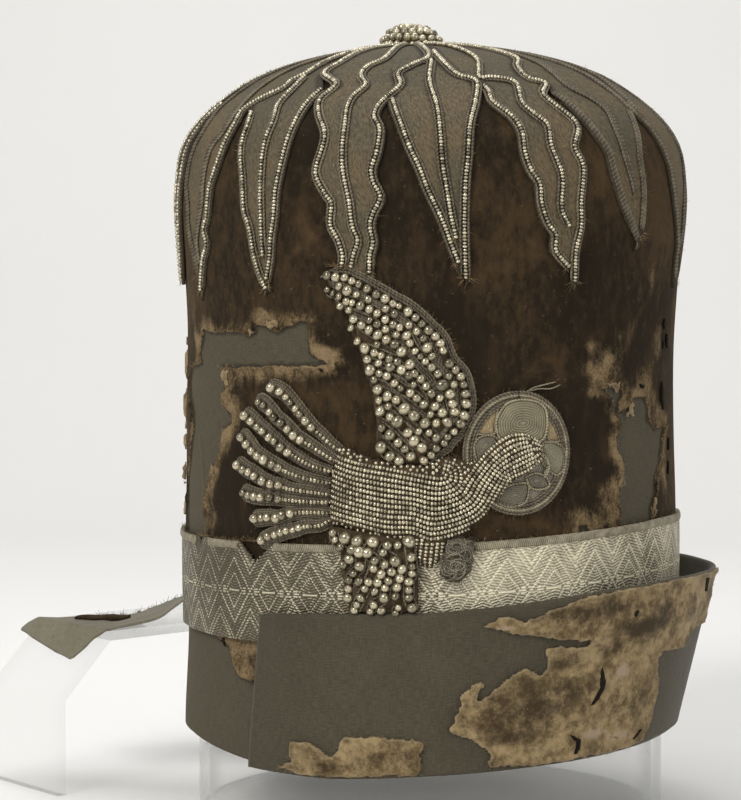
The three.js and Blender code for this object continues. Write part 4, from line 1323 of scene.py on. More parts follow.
def about_button(radius, turn, height):
    """Points round the button's own axis."""
    round_it = np.stack(matched(-BUTTON_LEFT + radius * np.sin(turn), -radius * np.cos(turn), height), -1)
    return (round_it + (AXIS_X, AXIS_Y, 0)) * MM


def button():
    pearls = Gather()
    sides = 40
    turn = np.linspace(0, 2 * math.pi, sides, endpoint=False)
    base = np.vstack([about_button(radius, turn, height) for radius, height in BUTTON_BASE])
    make_piece("button_base", base, capped_faces(len(BUTTON_BASE), sides), [FELT], "top_button")
    for index, (radius, height, size) in enumerate(BUTTON_RINGS):
        count = max(1, int(2 * math.pi * radius / (size * 0.97)))
        turn = (np.arange(count) + 0.5 * (index % 2)) / count * 2 * math.pi + chance.normal(0, 0.03, count)
        out = radius + chance.normal(0, 0.25, count)
        centres = about_button(out, turn, height + chance.normal(0, 0.22, count))
        along = np.stack([np.cos(turn), np.sin(turn), turn * 0], -1)
        up = unit(np.stack([np.sin(turn) * 0.7, -np.cos(turn) * 0.7, turn * 0 + 0.7], -1))
        sizes = size * chance.uniform(0.84, 1.1, count)
        add_beads(pearls, (centres, along, up), sizes, sizes * 0.92, PEARL_FORM, 0.07)
    pearls.piece("button_pearls", PEARL, "pearl", "top_button")


button()


# Dove in pearls, its outlines as length round the hat and height
DOVE_BODY = [
    (-33, 149.5), (-28.3, 149.3), (-25.4, 148), (-21.3, 146.1), (-15.1, 144.8), (-7.7, 144.2), (-2.4, 144),
    (1.6, 145.6), (4.9, 147), (8.2, 146.8), (11.8, 145.4), (14.6, 144.4), (18.8, 147.8), (23.1, 151.9),
    (26, 154.3), (30.4, 155.6), (34.1, 155.2), (37.9, 153.3), (40.4, 151), (41.6, 148), (40, 144.6),
    (36, 141.2), (30.3, 138.2), (26.7, 135), (23.5, 131.6), (20, 127), (15.5, 122.6), (11.6, 119),
    (6, 116.8), (5, 112.6), (3.4, 109.4), (0.6, 106.6), (-3.2, 108), (-5.2, 112.5), (-7.5, 116.6),
    (-15, 117.6), (-25.3, 120), (-35.3, 122.6), (-36, 128), (-35, 140),
]
DOVE_WING = [
    (-37, 213.6), (-32.8, 213.5), (-29.5, 213.2), (-24.5, 211.2), (-18.4, 207.4), (-12.7, 204), (-7.6, 201),
    (-2.8, 196.7), (1.8, 192), (5.2, 188), (8.2, 180.8), (12.2, 176), (13.9, 169.5), (14, 166), (13.2, 161),
    (9.8, 155.6), (6.3, 151.4), (2.5, 147.2), (-2, 144), (-14, 144), (-19, 147), (-19.5, 152), (-19, 159),
    (-20, 164), (-20.5, 170), (-23.4, 176), (-25, 184), (-29, 192.6), (-29, 197), (-34.4, 202), (-34, 207),
    (-38.6, 210.6),
]
WING_STRINGS = [
    [(-36.1, 212), (-32.8, 211.3), (-29.5, 211.2), (-27, 209.9), (-24.5, 208.8), (-21.7, 207.2),
     (-18.4, 205.2), (-15.5, 203.6), (-12.7, 201.9), (-10.7, 201), (-7.6, 199), (-5, 196.8), (-2.8, 194.7),
     (-0.5, 192.3), (1.8, 190.2), (3.6, 187.8), (4.5, 185), (6.6, 180.5), (8.8, 178.1), (10.7, 175.7),
     (11.6, 172.8), (12.3, 169.5), (12.5, 166), (11.8, 161.9), (10.5, 158.8), (8.3, 156), (6.1, 154.1),
     (4.9, 151.9), (2.1, 150.1), (0.4, 147.6), (-2.1, 145.8)],
    [(-36.6, 206.8), (-34.6, 205.6), (-31.8, 204.5), (-29, 202.8), (-26.8, 202.3), (-23.7, 201.2),
     (-20.8, 200), (-18.1, 198.5), (-15.3, 196.4), (-12.6, 194.5), (-10.4, 193.5), (-8, 190.5),
     (-6.9, 187.8), (-5.1, 185), (-3.3, 183), (-1.6, 181.1), (0.5, 179), (2.7, 176.7), (4.1, 172.6),
     (6.8, 169.5), (7.6, 166), (8.4, 163.1), (5.9, 159.5)],
    [(-26.6, 196.4), (-23.6, 194.3), (-21, 192.6), (-17.9, 190.7), (-14.9, 189), (-12.2, 187.3),
     (-9.7, 184.7), (-6.9, 180), (-5.2, 176.7), (-3.1, 174.8), (-1.3, 172.3), (0.5, 169.7), (1.7, 165.1),
     (4.1, 162.9)],
    [(-22.6, 185.8), (-19.2, 184.3), (-16.7, 183.4), (-13.9, 182.1), (-11.1, 181.1)],
    [(-20.8, 178), (-17.4, 176.8), (-14.8, 175.9), (-12.2, 173.3), (-10.1, 171.5), (-6.8, 169.8),
     (-4.5, 167.9), (-2.1, 165.7)],
    [(-18.1, 171), (-14.6, 168.7), (-11.6, 167.4), (-8.7, 164.1), (-5.5, 161.7), (-1.7, 159.1),
     (-0.3, 155.7), (2.1, 153.9)],
    [(-17.3, 163.2), (-13.7, 161.3), (-11.1, 159.6), (-7.6, 155.6), (-5.4, 152.7), (-2.8, 150.3)],
    [(-16.8, 157.3), (-13.7, 154.9), (-10.9, 152.1), (-8.5, 149.9), (-6.6, 147.1)],
    [(-17, 150.2), (-13.7, 147.1), (-10.6, 145.6)],
    [(-9.8, 178.2), (-7.2, 176.2), (-13.6, 179.2)],
]
BIGGEST_PEARLS = [(4.1, 172.6), (-11.1, 159.6), (-5.5, 161.7), (-17, 150.2), (-8.7, 164.1)]
FAR_WING = [
    (-36.4, 121.4), (-35.4, 117), (-31.6, 112.6), (-32, 106.6), (-30, 99), (-28.4, 90.4), (-9, 90),
    (-4.2, 92), (-3.6, 108), (-4, 117), (-14, 119),
]
FAR_WING_STRINGS = [
    [(-33.7, 119.2), (-32.9, 116.8), (-31, 114.2)],
    [(-29.1, 117.5), (-26.4, 113.6), (-27.5, 110), (-29.8, 107.7)],
    [(-24.9, 116.6), (-23.9, 112.8), (-23.8, 107.6), (-26, 105), (-27.6, 102.4), (-28, 99.4), (-28.4, 96)],
    [(-19.4, 116.4), (-21.2, 112.7), (-18.6, 109.9), (-19, 107), (-20.8, 102.2), (-22, 99.7), (-23.5, 96.3),
     (-25, 93.7), (-26.1, 91.5)],
    [(-14.3, 115.4), (-15.7, 112.8), (-11.7, 109.7), (-12.8, 106), (-13.9, 102.8), (-15, 100.2),
     (-15.4, 96.6), (-19, 93.9), (-20.5, 91.4)],
    [(-7.1, 116.9), (-6.3, 111.2), (-6, 107.9), (-6, 105.4), (-7.1, 102.5), (-7.1, 99.6), (-7.1, 96.7),
     (-6, 93.1)],
    [(-10.7, 93.1), (-11.7, 90.9)],
]
# Lanes of smaller pearls: between which two strings, and how far from the first to the second
WING_LANES = [
    (0, 1, 0.5), (1, 2, 0.5), (2, 4, 0.42), (4, 5, 0.5), (5, 6, 0.5), (6, 7, 0.5), (7, 8, 0.5), (2, 5, 0.5),
]
FAR_WING_LANES = [(4, 5, 0.5), (3, 4, 0.5), (2, 3, 0.5), (1, 2, 0.5)]
# Each tail feather: its large pearls from the tip, then the line of its seed pearls to the body
TAIL = [
    ([(-60.1, 171), (-56.2, 169.6), (-53.5, 167.6), (-51.6, 165.7), (-49.4, 163.5), (-47.6, 161.5),
      (-45.2, 159.3), (-42.9, 156.9)], [(-39.9, 154.7), (-36, 151.3), (-32, 148.5)]),
    ([(-66, 165.6), (-63.7, 164.4), (-60.7, 162), (-58.7, 160), (-55.7, 158.2), (-52.8, 156.1),
      (-50.1, 153.8), (-47.4, 152.3)], [(-44.4, 150.8), (-38.4, 147.4), (-33.2, 144.6)]),
    ([(-72.8, 160.3), (-69.5, 158.3), (-66.4, 156.3), (-63.9, 154.9), (-60.9, 152.7), (-58.5, 151.4),
      (-55.7, 149.2), (-52.6, 147.6)], [(-49.9, 146.2), (-42.9, 142.9), (-35, 141)]),
    ([(-74.8, 152.2), (-71.7, 149.8), (-69.2, 147.3), (-66.3, 145.7), (-63.1, 144.3), (-59.5, 142.9),
      (-56.5, 141.7)], [(-54, 140.6), (-45.9, 138.4), (-36, 136.9)]),
    ([(-76.8, 141.7), (-73.6, 140.2), (-70.6, 139.4), (-67.7, 138.1), (-63.9, 136.6), (-60.1, 135.5),
      (-56.4, 135.4)], [(-53.5, 134.3), (-45.9, 133.6), (-36, 132.8)]),
    ([(-73.5, 131.6), (-70.8, 131), (-67.6, 130.6), (-64.4, 130.5), (-60.5, 130.6), (-56.4, 130.3)],
     [(-53.9, 130.2), (-45.9, 129.9), (-36, 129.9)]),
    ([(-67.5, 122.6), (-64.2, 123), (-61.4, 123.3), (-57.6, 123.2), (-54.7, 124.4), (-51.4, 125.2)],
     [(-48.2, 125.7), (-42.7, 126.1), (-35.6, 126.1)]),
    ([(-64.1, 114.7), (-61, 116.4), (-58.1, 117.2), (-55.4, 118.2), (-53, 118.8), (-50.1, 119.4),
      (-47.7, 120.3)], [(-45, 120.9), (-39.7, 121.4), (-35, 124)]),
]
BODY_RISE, BODY_EDGE = 4.6, 11
WING_RISE, WING_EDGE = 2.4, 9
FAR_RISE, FAR_EDGE = 2.6, 7
FEATHER_HALF = {"tip": 2.7, "root": 1.25}
SWIRL = (4.3, 140.5)
BODY_SEED = {"wide": 1.62, "pitch": 1.3, "rows": 1.78, "lift": 0.35}
# The stretch of the body's outline along its back, breast to head
UPPER_EDGE = slice(6, 25)
# Couched cords of the wing: between which two strings, and how far from the first to the second
WING_CORDS = [
    (0, 1, (0.3, 0.42, 0.54, 0.68)), (1, 2, (0.32, 0.5, 0.68)), (4, 5, (0.35, 0.62)), (5, 6, (0.35, 0.62)),
    (6, 7, (0.35, 0.62)), (7, 8, (0.4, 0.66)), (3, 4, (0.35, 0.6)),
]


def on_form(outline, rise):
    """A surface over a padded form: the wall, raised by the form wherever it lies."""
    def surface(across, height, lift):
        across, height = matched(across, height)
        depth = np.maximum(within(across, height, outline), 0)
        return on_wall(across, height, lift + rise(depth, across, height))
    return surface


def points_line(surface, points, lift):
    """Places exactly at the points, with the ways along and off the surface."""
    low, along, up = footing(surface, np.array(points, float))
    return low + up * lift * MM, along, up


def string_pearls(gather, surface, points, lift, biggest=(), most=4.1):
    """Large pearls on a string, each as big as its neighbours allow; returns places and half widths."""
    p = np.array(points, float)
    gaps = np.linalg.norm(np.diff(p, axis=0), axis=1)
    room = np.minimum(np.concatenate([gaps[:1], gaps]), np.concatenate([gaps, gaps[-1:]]))
    wide = np.clip(room * 1.12, 2.9, most) * chance.uniform(0.94, 1.08, len(p))
    for k, point in enumerate(points):
        if point in biggest:
            wide[k] = 4.7
    line = points_line(surface, points, lift)
    add_beads(gather, line, wide * 1.04, wide * 0.94, PEARL_FORM, 0.06)
    return np.column_stack([p, wide / 2])


def fill_pearls(gather, surface, outline, taken, lanes, sizes, lift, inset=1.2, close=0.93):
    """Pearls in the room left between the strings: along the lanes first, then wherever one fits."""
    ring = np.array(outline, float)
    low, high = ring.min(axis=0), ring.max(axis=0)
    across, height = np.meshgrid(*(np.arange(low[k], high[k], 0.6) for k in range(2)))
    loose = np.column_stack([across.ravel(), height.ravel()])
    loose = loose[chance.permutation(len(loose))]
    taken = np.vstack(taken)
    for spots, widths in [(lane, sizes) for lane in lanes] + [(loose, sizes[1:])]:
        spots = spots[within(*spots.T, outline) > inset]
        for spot in spots:
            room = (np.hypot(taken[:, 0] - spot[0], taken[:, 1] - spot[1]) - taken[:, 2]).min()
            fits = [wide for wide in widths if room >= wide / 2 * close]
            if not fits:
                continue
            wide = fits[0] * chance.uniform(0.95, 1.05)
            taken = np.vstack([taken, [spot[0], spot[1], wide / 2]])
            near = [spot - (0.5, -0.4), spot, spot + (0.5, -0.4)]
            line = cut(points_line(surface, near, lift), slice(1, 2))
            add_beads(gather, line, wide * 1.05, wide * 0.92, PEARL_FORM, 0.06)


def lanes_between(strings, pairs):
    return [between(strings[first], strings[second], share, 120) for first, second, share in pairs]


def between(first, second, share, count=26):
    """A line part of the way from one line to another."""
    start, end = (evened(smooth_line(points, 6), count) for points in (first, second))
    return start * (1 - share) + end * share


def felt_rim(gather, surface, outline, count, length, low=0.5, closed=True):
    """Stray threads all along an outline."""
    ring = np.array(outline, float)
    if closed:
        ring = np.vstack([ring, ring[:1]])
    run = run_lengths(ring)
    spots = resample(ring, run, chance.uniform(0, run[-1], count))
    tips = spots + (unit(spots - ring.mean(axis=0)) + chance.normal(0, 0.6, spots.shape))
    start = surface(*spots.T, low)
    end = surface(*tips.T, low + chance.uniform(0, 1))
    add_hairs(gather, start, unit(end - start), length)


def body_rows():
    """Rows of seeds: along the body, round the breast, and up the neck to the head."""
    reach = 24.0
    rows = []
    for below in np.arange(1.2, reach, BODY_SEED["rows"]):
        share = below / reach
        left = (-34.2 - 1.2 * share, 148.6 - (148.6 - 123.4) * share)
        row = [left, (-25, 145.6 - 24.6 * share), (-15, 143.9 - 25.3 * share), (-6, 142 - 23.4 * share)]
        cx, cy = SWIRL
        row.append((cx - 2, cy - below))
        row.append((cx + 0.62 * below, cy - 0.74 * below))
        row.append((cx + 0.96 * below, cy - 0.22 * below))
        up = np.clip((below - 8) / (reach - 8), 0, 1)
        if below < 8:
            row.append((cx + 0.8 * below, cy + 0.5 * below))
            row.append((cx + 0.2 * below, cy + 0.75 * below))
        else:
            row.append((19.5 + 9 * up, 148 - 9.8 * up))
            row.append((27 + 7.5 * up, 154 - 13.6 * up))
            row.append((34 + 4.6 * up, 154.6 - 11.2 * up))
            row.append((39.6 + 0.8 * up, 151.6 - 5 * up))
        rows.append(row)
    for across in np.arange(-4.2, 5.4, BODY_SEED["rows"]):
        rows.append([(across, 118.6), (across - 0.6, 114), (across - 1, 110), (across * 0.7 - 1, 106.4)])
    return rows


def dove_body(threads):
    """Seeds in rows over the padded body, then single ones wherever one still fits."""
    rise = rounded(BODY_RISE, BODY_EDGE)
    patch("dove_body_form", grown(DOVE_BODY, 0.3), 1.1, rise, FELT, "dove_body")
    surface = on_form(DOVE_BODY, rise)
    seeds = Gather()
    ground = Ground()
    for row in [DOVE_BODY[UPPER_EDGE]] + body_rows():
        line = lay(surface, row, BODY_SEED["pitch"], BODY_SEED["lift"], smooth=6)
        spots = evened(smooth_line(row, 6), len(line[0]))
        inside = within(*spots.T, DOVE_BODY) > 0.15
        line = cut(line, ground.clear(line[0], 1.32) & inside)
        ground.keep(line[0])
        add_beads(seeds, line, BODY_SEED["wide"], BODY_SEED["pitch"], SEED_FORM, 0.1)
    filler = np.array([
        (across + chance.uniform(-0.2, 0.2), height + chance.uniform(-0.2, 0.2))
        for across in np.arange(-37, 44, 1.1) for height in np.arange(106, 157, 1.1)
    ])
    for point in filler[within(*filler.T, DOVE_BODY) > 0.2]:
        near = [point - (0.5, 0), point, point + (0.5, 0)]
        line = cut(lay(surface, near, 5, BODY_SEED["lift"], smooth=1), slice(0, 1))
        if ground.clear(line[0], 1.36).all():
            ground.keep(line[0])
            add_beads(seeds, line, BODY_SEED["wide"], BODY_SEED["pitch"], SEED_FORM, 0.1)
    seeds.piece("dove_body_seeds", PEARL, "pearl", "dove_body")
    felt_rim(threads, on_wall, DOVE_BODY, 300, 1.6)


def strung_wing(part, outline, step, rise, strings, lift, aside, biggest=(), most=4.1):
    """A padded wing and its strings of pearls, each between two couched cords."""
    patch(f"{part}_form", outline, step, rise, FELT, part)
    surface = on_form(outline, rise)
    pearls, cords = Gather(), Gather()
    taken = []
    for string in strings:
        taken.append(string_pearls(pearls, surface, string, lift, biggest, most))
        for side in (-aside, aside):
            add_cord(cords, lay(surface, string, 1.2, 0.25, side), 0.42)
    return surface, pearls, cords, taken


def dove_wing(threads):
    """The raised wing, with more couched cords between its strings and beyond its edge."""
    rise = rounded(WING_RISE, WING_EDGE, 0.8)
    surface, pearls, cords, taken = strung_wing(
        "dove_wing", DOVE_WING, 1.3, rise, WING_STRINGS, 1.0, 1.9, BIGGEST_PEARLS)
    for first, second, shares in WING_CORDS:
        for share in shares:
            line = between(WING_STRINGS[first], WING_STRINGS[second], share)
            add_cord(cords, lay(surface, line, 1.2, 0.3, smooth=3), 0.44)
    for out in (1.9, 2.8, 3.7):
        edge = grown(WING_STRINGS[0] + [(-14, 150), (-30, 200)], out)[:len(WING_STRINGS[0])]
        add_cord(cords, lay(on_wall, edge, 1.2, 0.9, smooth=4), 0.5)
    lanes = lanes_between(WING_STRINGS, WING_LANES)
    fill_pearls(pearls, surface, DOVE_WING, taken, lanes, (3.9, 3.5, 3.1), 0.9)
    pearls.piece("dove_wing_pearls", BIG_PEARL, "pearl", "dove_wing")
    cords.piece("dove_wing_cords", TWIST, "cord", "dove_wing")
    felt_rim(threads, on_wall, grown(DOVE_WING, 1.4)[:19], 420, 2.2, closed=False)


def dove_far_wing(threads):
    """The far wing, hanging over the band."""
    rise = rounded(FAR_RISE, FAR_EDGE, 2.0)
    surface, pearls, cords, taken = strung_wing(
        "dove_far_wing", FAR_WING, 1.2, rise, FAR_WING_STRINGS, 0.9, 1.8, most=4.8)
    lanes = lanes_between(FAR_WING_STRINGS, FAR_WING_LANES)
    fill_pearls(pearls, surface, FAR_WING, taken, lanes, (4.4, 4.0, 3.5), 0.8, 1.6, 0.86)
    pearls.piece("dove_far_wing_pearls", BIG_PEARL, "pearl", "dove_far_wing")
    cords.piece("dove_far_wing_cords", TWIST, "cord", "dove_far_wing")
    felt_rim(threads, on_wall, FAR_WING, 90, 1.6, 1.6)


def dove():
    threads = Gather()
    dove_body(threads)
    dove_wing(threads)
    dove_far_wing(threads)
    for index, (large, small) in enumerate(TAIL):
        feather(index + 1, large, small, threads)
    threads.piece("dove_stray_threads", STRAY, "worn_velvet")


def feather(number, large, small, threads):
    """One tail feather: a padded strip edged with cords, large pearls at its end and seeds to its root."""
    node = f"dove_tail_feather_{number}"
    line = smooth_line(large + small, 8)
    run = run_lengths(line)
    share = run / run[-1]
    way = unit(np.gradient(line, axis=0))
    aside = np.stack([-way[:, 1], way[:, 0]], -1)
    half = FEATHER_HALF["root"] + (FEATHER_HALF["tip"] - FEATHER_HALF["root"]) * (1 - share) ** 0.8

    def loop_at(extra):
        """The line round the feather: up one side, round its tip and back along the other."""
        reach = (half + extra)[:, None]
        one, other = line + aside * reach, line - aside * reach
        turn = np.linspace(0, math.pi, 9)[1:-1]
        tip = [line[0] - way[0] * math.sin(t) * reach[0] + aside[0] * math.cos(t) * reach[0] for t in turn]
        return np.vstack([one[::-3], tip, other[::3]])

    outline = loop_at(0.35)
    rise = rounded(1.3, 2.4, 0.9)
    felt = FELT if number == 1 else GREY_FELT
    patch(f"feather_form_{number}", outline, 0.9, rise, felt, node)
    surface = on_form(outline, rise)
    pearls, cords = Gather(), Gather()
    string_pearls(pearls, surface, large, 0.95, most=3.6)
    seed_line = [np.array(large[-1]) * 0.3 + np.array(small[0]) * 0.7, *small]
    add_beads(pearls, lay(surface, seed_line, 1.5, 0.5), 1.9, 1.45, SEED_FORM, 0.12)
    for extra, lift, radius in ((0.3, 0.9, 0.48), (-0.5, 1.55, 0.44), (-1.15, 1.9, 0.36)):
        add_cord(cords, lay(on_wall, loop_at(extra), 1.1, lift, smooth=3), radius)
    pearls.piece(f"feather_pearls_{number}", BIG_PEARL, "pearl", node)
    cords.piece(f"feather_cords_{number}", TWIST, "cord", node)
    felt_rim(threads, on_wall, outline, 60, 1.4)


dove()


# Nimbus of couched cords and silver petals, each with its lift, its finish and its outline
NIMBUS = {"across": 32, "height": 148, "half_width": 20.4, "half_height": 22.4}
PETALS = [
    (1.7, SILVER, [(24, 155), (23.6, 160), (26.7, 165.2), (30.3, 166.9), (34.8, 167.2), (39.4, 166.1),
      (42.1, 163.9), (42.9, 160.4), (42.6, 156.2), (41.2, 152.8), (34.8, 150), (27, 151)]),
    (1.7, SATIN, [(41.5, 151.6), (45.7, 151.6), (49, 149.8), (50.6, 146.9), (50.4, 143.6), (48.9, 140.8),
      (46.5, 139.6), (43.6, 141.6), (41, 144.4), (40.4, 148)]),
    (1.5, VIOLET, [(15.4, 150.8), (17, 153.3), (19.5, 154.4), (23.1, 154), (24.6, 151), (19.5, 146.6),
      (16.7, 145.4)]),
    (1.5, VIOLET, [(24.1, 130.6), (25.4, 134.4), (29, 136.6), (35.2, 137), (35.6, 133.4), (34.2, 130),
      (29.6, 128.6), (25.9, 129.2)]),
    (1.4, VIOLET, [(34.6, 139.4), (38.6, 140.6), (42.3, 139.2), (44, 136), (40.7, 134.6), (36.6, 135.4)]),
]
TAN_SEGMENTS = [
    [(16.6, 155), (20, 160.6), (24.2, 164.8), (23.2, 158.6), (23, 155)],
    [(43.4, 163.2), (47.6, 158.6), (49.8, 152.6), (44, 152.2), (43.4, 157)],
    [(37.2, 130.6), (41.6, 133), (44.6, 136), (46.4, 138.2), (49, 137), (45.4, 132.4), (40.4, 128.6)],
]


def ring_points(scale, count=40):
    turn = np.linspace(0, 2 * math.pi, count)
    across = NIMBUS["across"] + NIMBUS["half_width"] * scale * np.sin(turn)
    height = NIMBUS["height"] + NIMBUS["half_height"] * scale * np.cos(turn)
    return list(zip(across, height))


def closed_cord(gather, outline, lift, radius):
    ring = list(outline)
    if ring[0] != ring[-1]:
        ring.append(ring[0])
    add_cord(gather, lay(on_wall, ring, 0.9, lift, smooth=6), radius)


def nimbus():
    rim = ring_points(1.0)[:-1]
    patch("nimbus_disc", rim, 1.2, level(1.1), COUCHED, "nimbus")
    cords, gilt, threads = Gather(), Gather(), Gather()
    for scale, lift in ((0.985, 1.45), (0.945, 1.7), (0.9, 1.45), (0.855, 1.7), (0.81, 1.45)):
        closed_cord(cords, ring_points(scale), lift, 0.5)
    closed_cord(gilt, ring_points(0.925), 1.95, 0.4)
    for number, (lift, finish, outline) in enumerate(PETALS):
        rise = rounded(0.5, 2.5, lift)
        patch(f"nimbus_petal_{number}", outline, 0.9, rise, finish, "nimbus", low=1.0)
        closed_cord(gilt, outline, lift + 0.25, 0.42)
    for number, outline in enumerate(TAN_SEGMENTS):
        patch(f"nimbus_tan_{number}", outline, 0.9, level(1.35), TAN_SILK, "nimbus", low=1.0)
        closed_cord(gilt, outline, 1.5, 0.34)
    cords.piece("nimbus_cords", TWIST, "cord", "nimbus")
    gilt.piece("nimbus_gilt_cords", GOLD_TWIST, "cord", "nimbus")
    felt_rim(threads, on_wall, rim, 110, 1.3)
    loose = [(34.5, 169.5), (38, 171.4), (43, 172.6), (47, 173.4)]
    add_cord(loose_cords, lay(on_wall, loose, 1.0, 1.0), 0.3)
    loose = [(36, 170), (40, 171), (45, 171), (49, 172.4)]
    add_cord(loose_cords, lay(on_wall, loose, 1.0, 0.9), 0.26)
    threads.piece("nimbus_stray_threads", STRAY, "worn_velvet")


# Beak, loose threads and the knot below the breast
loose_cords = Gather()
KNOT_LOOPS = 110
KNOT = [
    (6.2, 117.6), (10.2, 118.2), (14.3, 117.5), (16, 114.2), (15, 110.2), (14.6, 106.1), (11, 102.2),
    (6.4, 102.2), (3.3, 104.9), (4.6, 109.6), (5.2, 114.3),
]


def knot():
    """Tangled threads below the breast."""
    rise = rounded(2.6, 5, 2.2)
    patch("knot_form", KNOT, 0.9, rise, KNOT_FELT, "thread_knot")
    surface = on_form(KNOT, rise)
    loops, fuzz = Gather(), Gather()
    for _ in range(KNOT_LOOPS):
        middle = np.array([chance.uniform(4, 15), chance.uniform(103, 117)])
        size = chance.uniform(1.2, 3.4)
        start = chance.uniform(0, 6.28)
        turn = start + np.linspace(0, chance.uniform(2.2, 5.5), 7)
        ring = middle + np.stack([np.cos(turn), np.sin(turn) * chance.uniform(0.5, 1.2)], -1) * size
        if within(*ring.T, KNOT).min() >= -0.4:
            add_cord(loops, lay(surface, ring, 0.7, chance.uniform(0.1, 1.3), smooth=4), 0.2)
    felt_rim(fuzz, surface, KNOT, 120, 1.5, 1.0)
    fuzz.piece("knot_fuzz", KNOT_FELT, "cord")
    loops.piece("knot_threads", KNOT_THREAD, "cord", "thread_knot")


def beak():
    """Gilt cords for the beak and the eye, in one piece with the loose ends over the nimbus."""
    head = on_form(DOVE_BODY, rounded(BODY_RISE, BODY_EDGE))
    for offset in (-0.9, 0.0, 0.9):
        row = [(39.5, 148 + offset), (42.4, 146.4 + offset), (43.4, 142.6 + offset), (41.4, 139.6 + offset)]
        add_cord(loose_cords, lay(head, row, 0.9, 1.3), 0.42)
    eye = [(30.4 + 0.9 * math.sin(t), 150.7 + 0.9 * math.cos(t)) for t in np.linspace(0, 6.28, 9)]
    add_cord(loose_cords, lay(head, eye, 0.5, 1.1, smooth=3), 0.32)
    loose_cords.piece("beak_and_loose_threads", GOLD_TWIST, "cord")


nimbus()
knot()
beak()


# Open slits and small holes in the crown's cloth, each a near-black patch laid on it as painted shadow
CROWN_SLITS = [
    [(110.6, 172), (113.4, 168), (112.4, 160.6), (110.4, 165)], [(119.6, 151), (121.4, 147), (119.2, 145)],
    [(118.4, 141), (119.8, 138), (118, 136)], [(112, 196), (114, 194), (112.6, 191.6), (111, 193.6)],
    [(116, 190), (118.6, 188.4), (117.4, 184.6), (115.2, 187)], [(111.4, 187.6), (113, 186), (111.4, 184)],
    [(91.4, 171.6), (94.4, 171.2), (94, 169.6), (91.8, 170)], [(-41.4, 178.4), (-39.6, 177.8),
     (-40.6, 176.6)], [(-90.8, 74.6), (-88.8, 76.4), (-88.2, 72.2)], [(-69, 63.4), (-66.2, 62.8),
     (-68, 61.4)],
]


def crown_slits():
    for k, slit in enumerate(CROWN_SLITS):
        patch(f"crown_slit_{k}", ragged(slit, 0.12, 1.0), 0.5, level(0.75), SLIT_SHADOW)


crown_slits()


# Scraps of velvet that stand off the tears: outlines, and how far each lifts at its loose end
SCRAPS = [
    ([(-137, 179), (-139.4, 183.6), (-143.2, 181.6), (-142.4, 172.4), (-139.8, 173)], 0.8),
    ([(-138.2, 166.6), (-141.4, 168.4), (-145.4, 160.4), (-143, 152.2), (-140.6, 157.6)], 1.2),
    ([(-139, 147.4), (-143.8, 149.4), (-143, 143.2)], 0.9), ([(-137, 136.2), (-142.8, 138.2),
      (-145, 129.6)], 1.3), ([(-140, 187), (-143.4, 188.4), (-144, 184.6)], 0.6), ([(-134, 122),
      (-138.6, 124.4), (-138, 117.6)], 0.8), ([(-98, 141.6), (-95.4, 137), (-99.4, 136.4)], 0.9),
    ([(-64, 196.4), (-58.6, 196), (-60.6, 192.6), (-64, 193.6)], 0.9), ([(-73, 192.4), (-70.4, 191.4),
      (-73.6, 189.6)], 0.8), ([(72, 172), (78, 172.6), (76, 168.6)], 0.9), ([(80, 139), (77, 134.4),
      (81.6, 134)], 0.9), ([(86, 165), (82, 160.6), (87, 160)], 0.9), ([(-91, 176.4), (-86, 176.8),
      (-88.4, 170)], 0.9), ([(102.6, 128), (100.6, 122), (104.4, 121)], 1.0),
]


def scraps():
    for k, (outline, high) in enumerate(SCRAPS):
        def curl(depth, across, height, high=high):
            """Flat where it is still held, lifting in waves towards its free side."""
            wave = np.clip(0.5 + 0.5 * np.sin(height * 0.37 + across * 0.9), 0, 1)
            return 0.5 + high * wave * np.clip(0.4 + depth, 0, 1)
        patch(f"velvet_scrap_{k}", ragged(outline, 0.6, 0.9), 0.45, curl, BRIM_WORN)


scraps()


def tear_frays():
    """Loose threads along the tears of the crown's velvet."""
    frays = Gather()
    for outline in (SILK_BARE_LEFT, SILK_BARE_RIGHT):
        felt_rim(frays, on_wall, outline, 170, 1.3, 0.5)
    frays.piece("tear_frays", STRAY, "worn_velvet")


tear_frays()


# Brim
BRIM_FULL = 62
BRIM_VELVET_RIGHT = [
    (10.5, 0.91), (13, 0.93), (15.5, 0.95), (19, 0.9), (22, 0.92), (24.5, 0.95), (28, 0.97), (32, 0.99),
    (39, 1), (47, 1), (56, 1), (65.5, 1), (74, 1), (84, 1), (90, 0.9), (88, 0.75), (85, 0.66), (76, 0.66),
    (68, 0.64), (66, 0.55), (60, 0.56), (55.5, 0.56), (53.5, 0.52), (55.5, 0.36), (56, 0.22), (54, 0.09),
    (52.5, 0.03), (46.5, 0.01), (37.5, 0.01), (32.5, 0.02), (29.5, 0.01), (22, 0.01), (16.5, 0.03),
    (12, 0.03), (12, 0.07), (13, 0.1), (11, 0.16), (8, 0.22), (5, 0.26), (3.5, 0.29), (5, 0.32), (6, 0.41),
    (6.5, 0.51), (9, 0.55), (11, 0.57), (11, 0.53), (9.5, 0.51), (9.5, 0.44), (13, 0.5), (16.5, 0.58),
    (19.5, 0.62), (21.5, 0.59), (23, 0.55), (24.5, 0.59), (24, 0.72), (31.5, 0.7), (36.5, 0.71),
    (31.5, 0.74), (26.5, 0.76), (24.5, 0.79), (19.5, 0.82), (14.5, 0.86),
]
BRIM_VELVET_LEFT = [
    (-33.5, 0.04), (-30.5, 0.08), (-30.5, 0.21), (-26, 0.22), (-20.5, 0.13), (-18, 0.26), (-10, 0.26),
    (-1, 0.22), (-2, 0.13), (-1.5, 0.05), (-2, 0.015), (-6, 0.015), (-18, 0.015), (-28.5, 0.015),
]
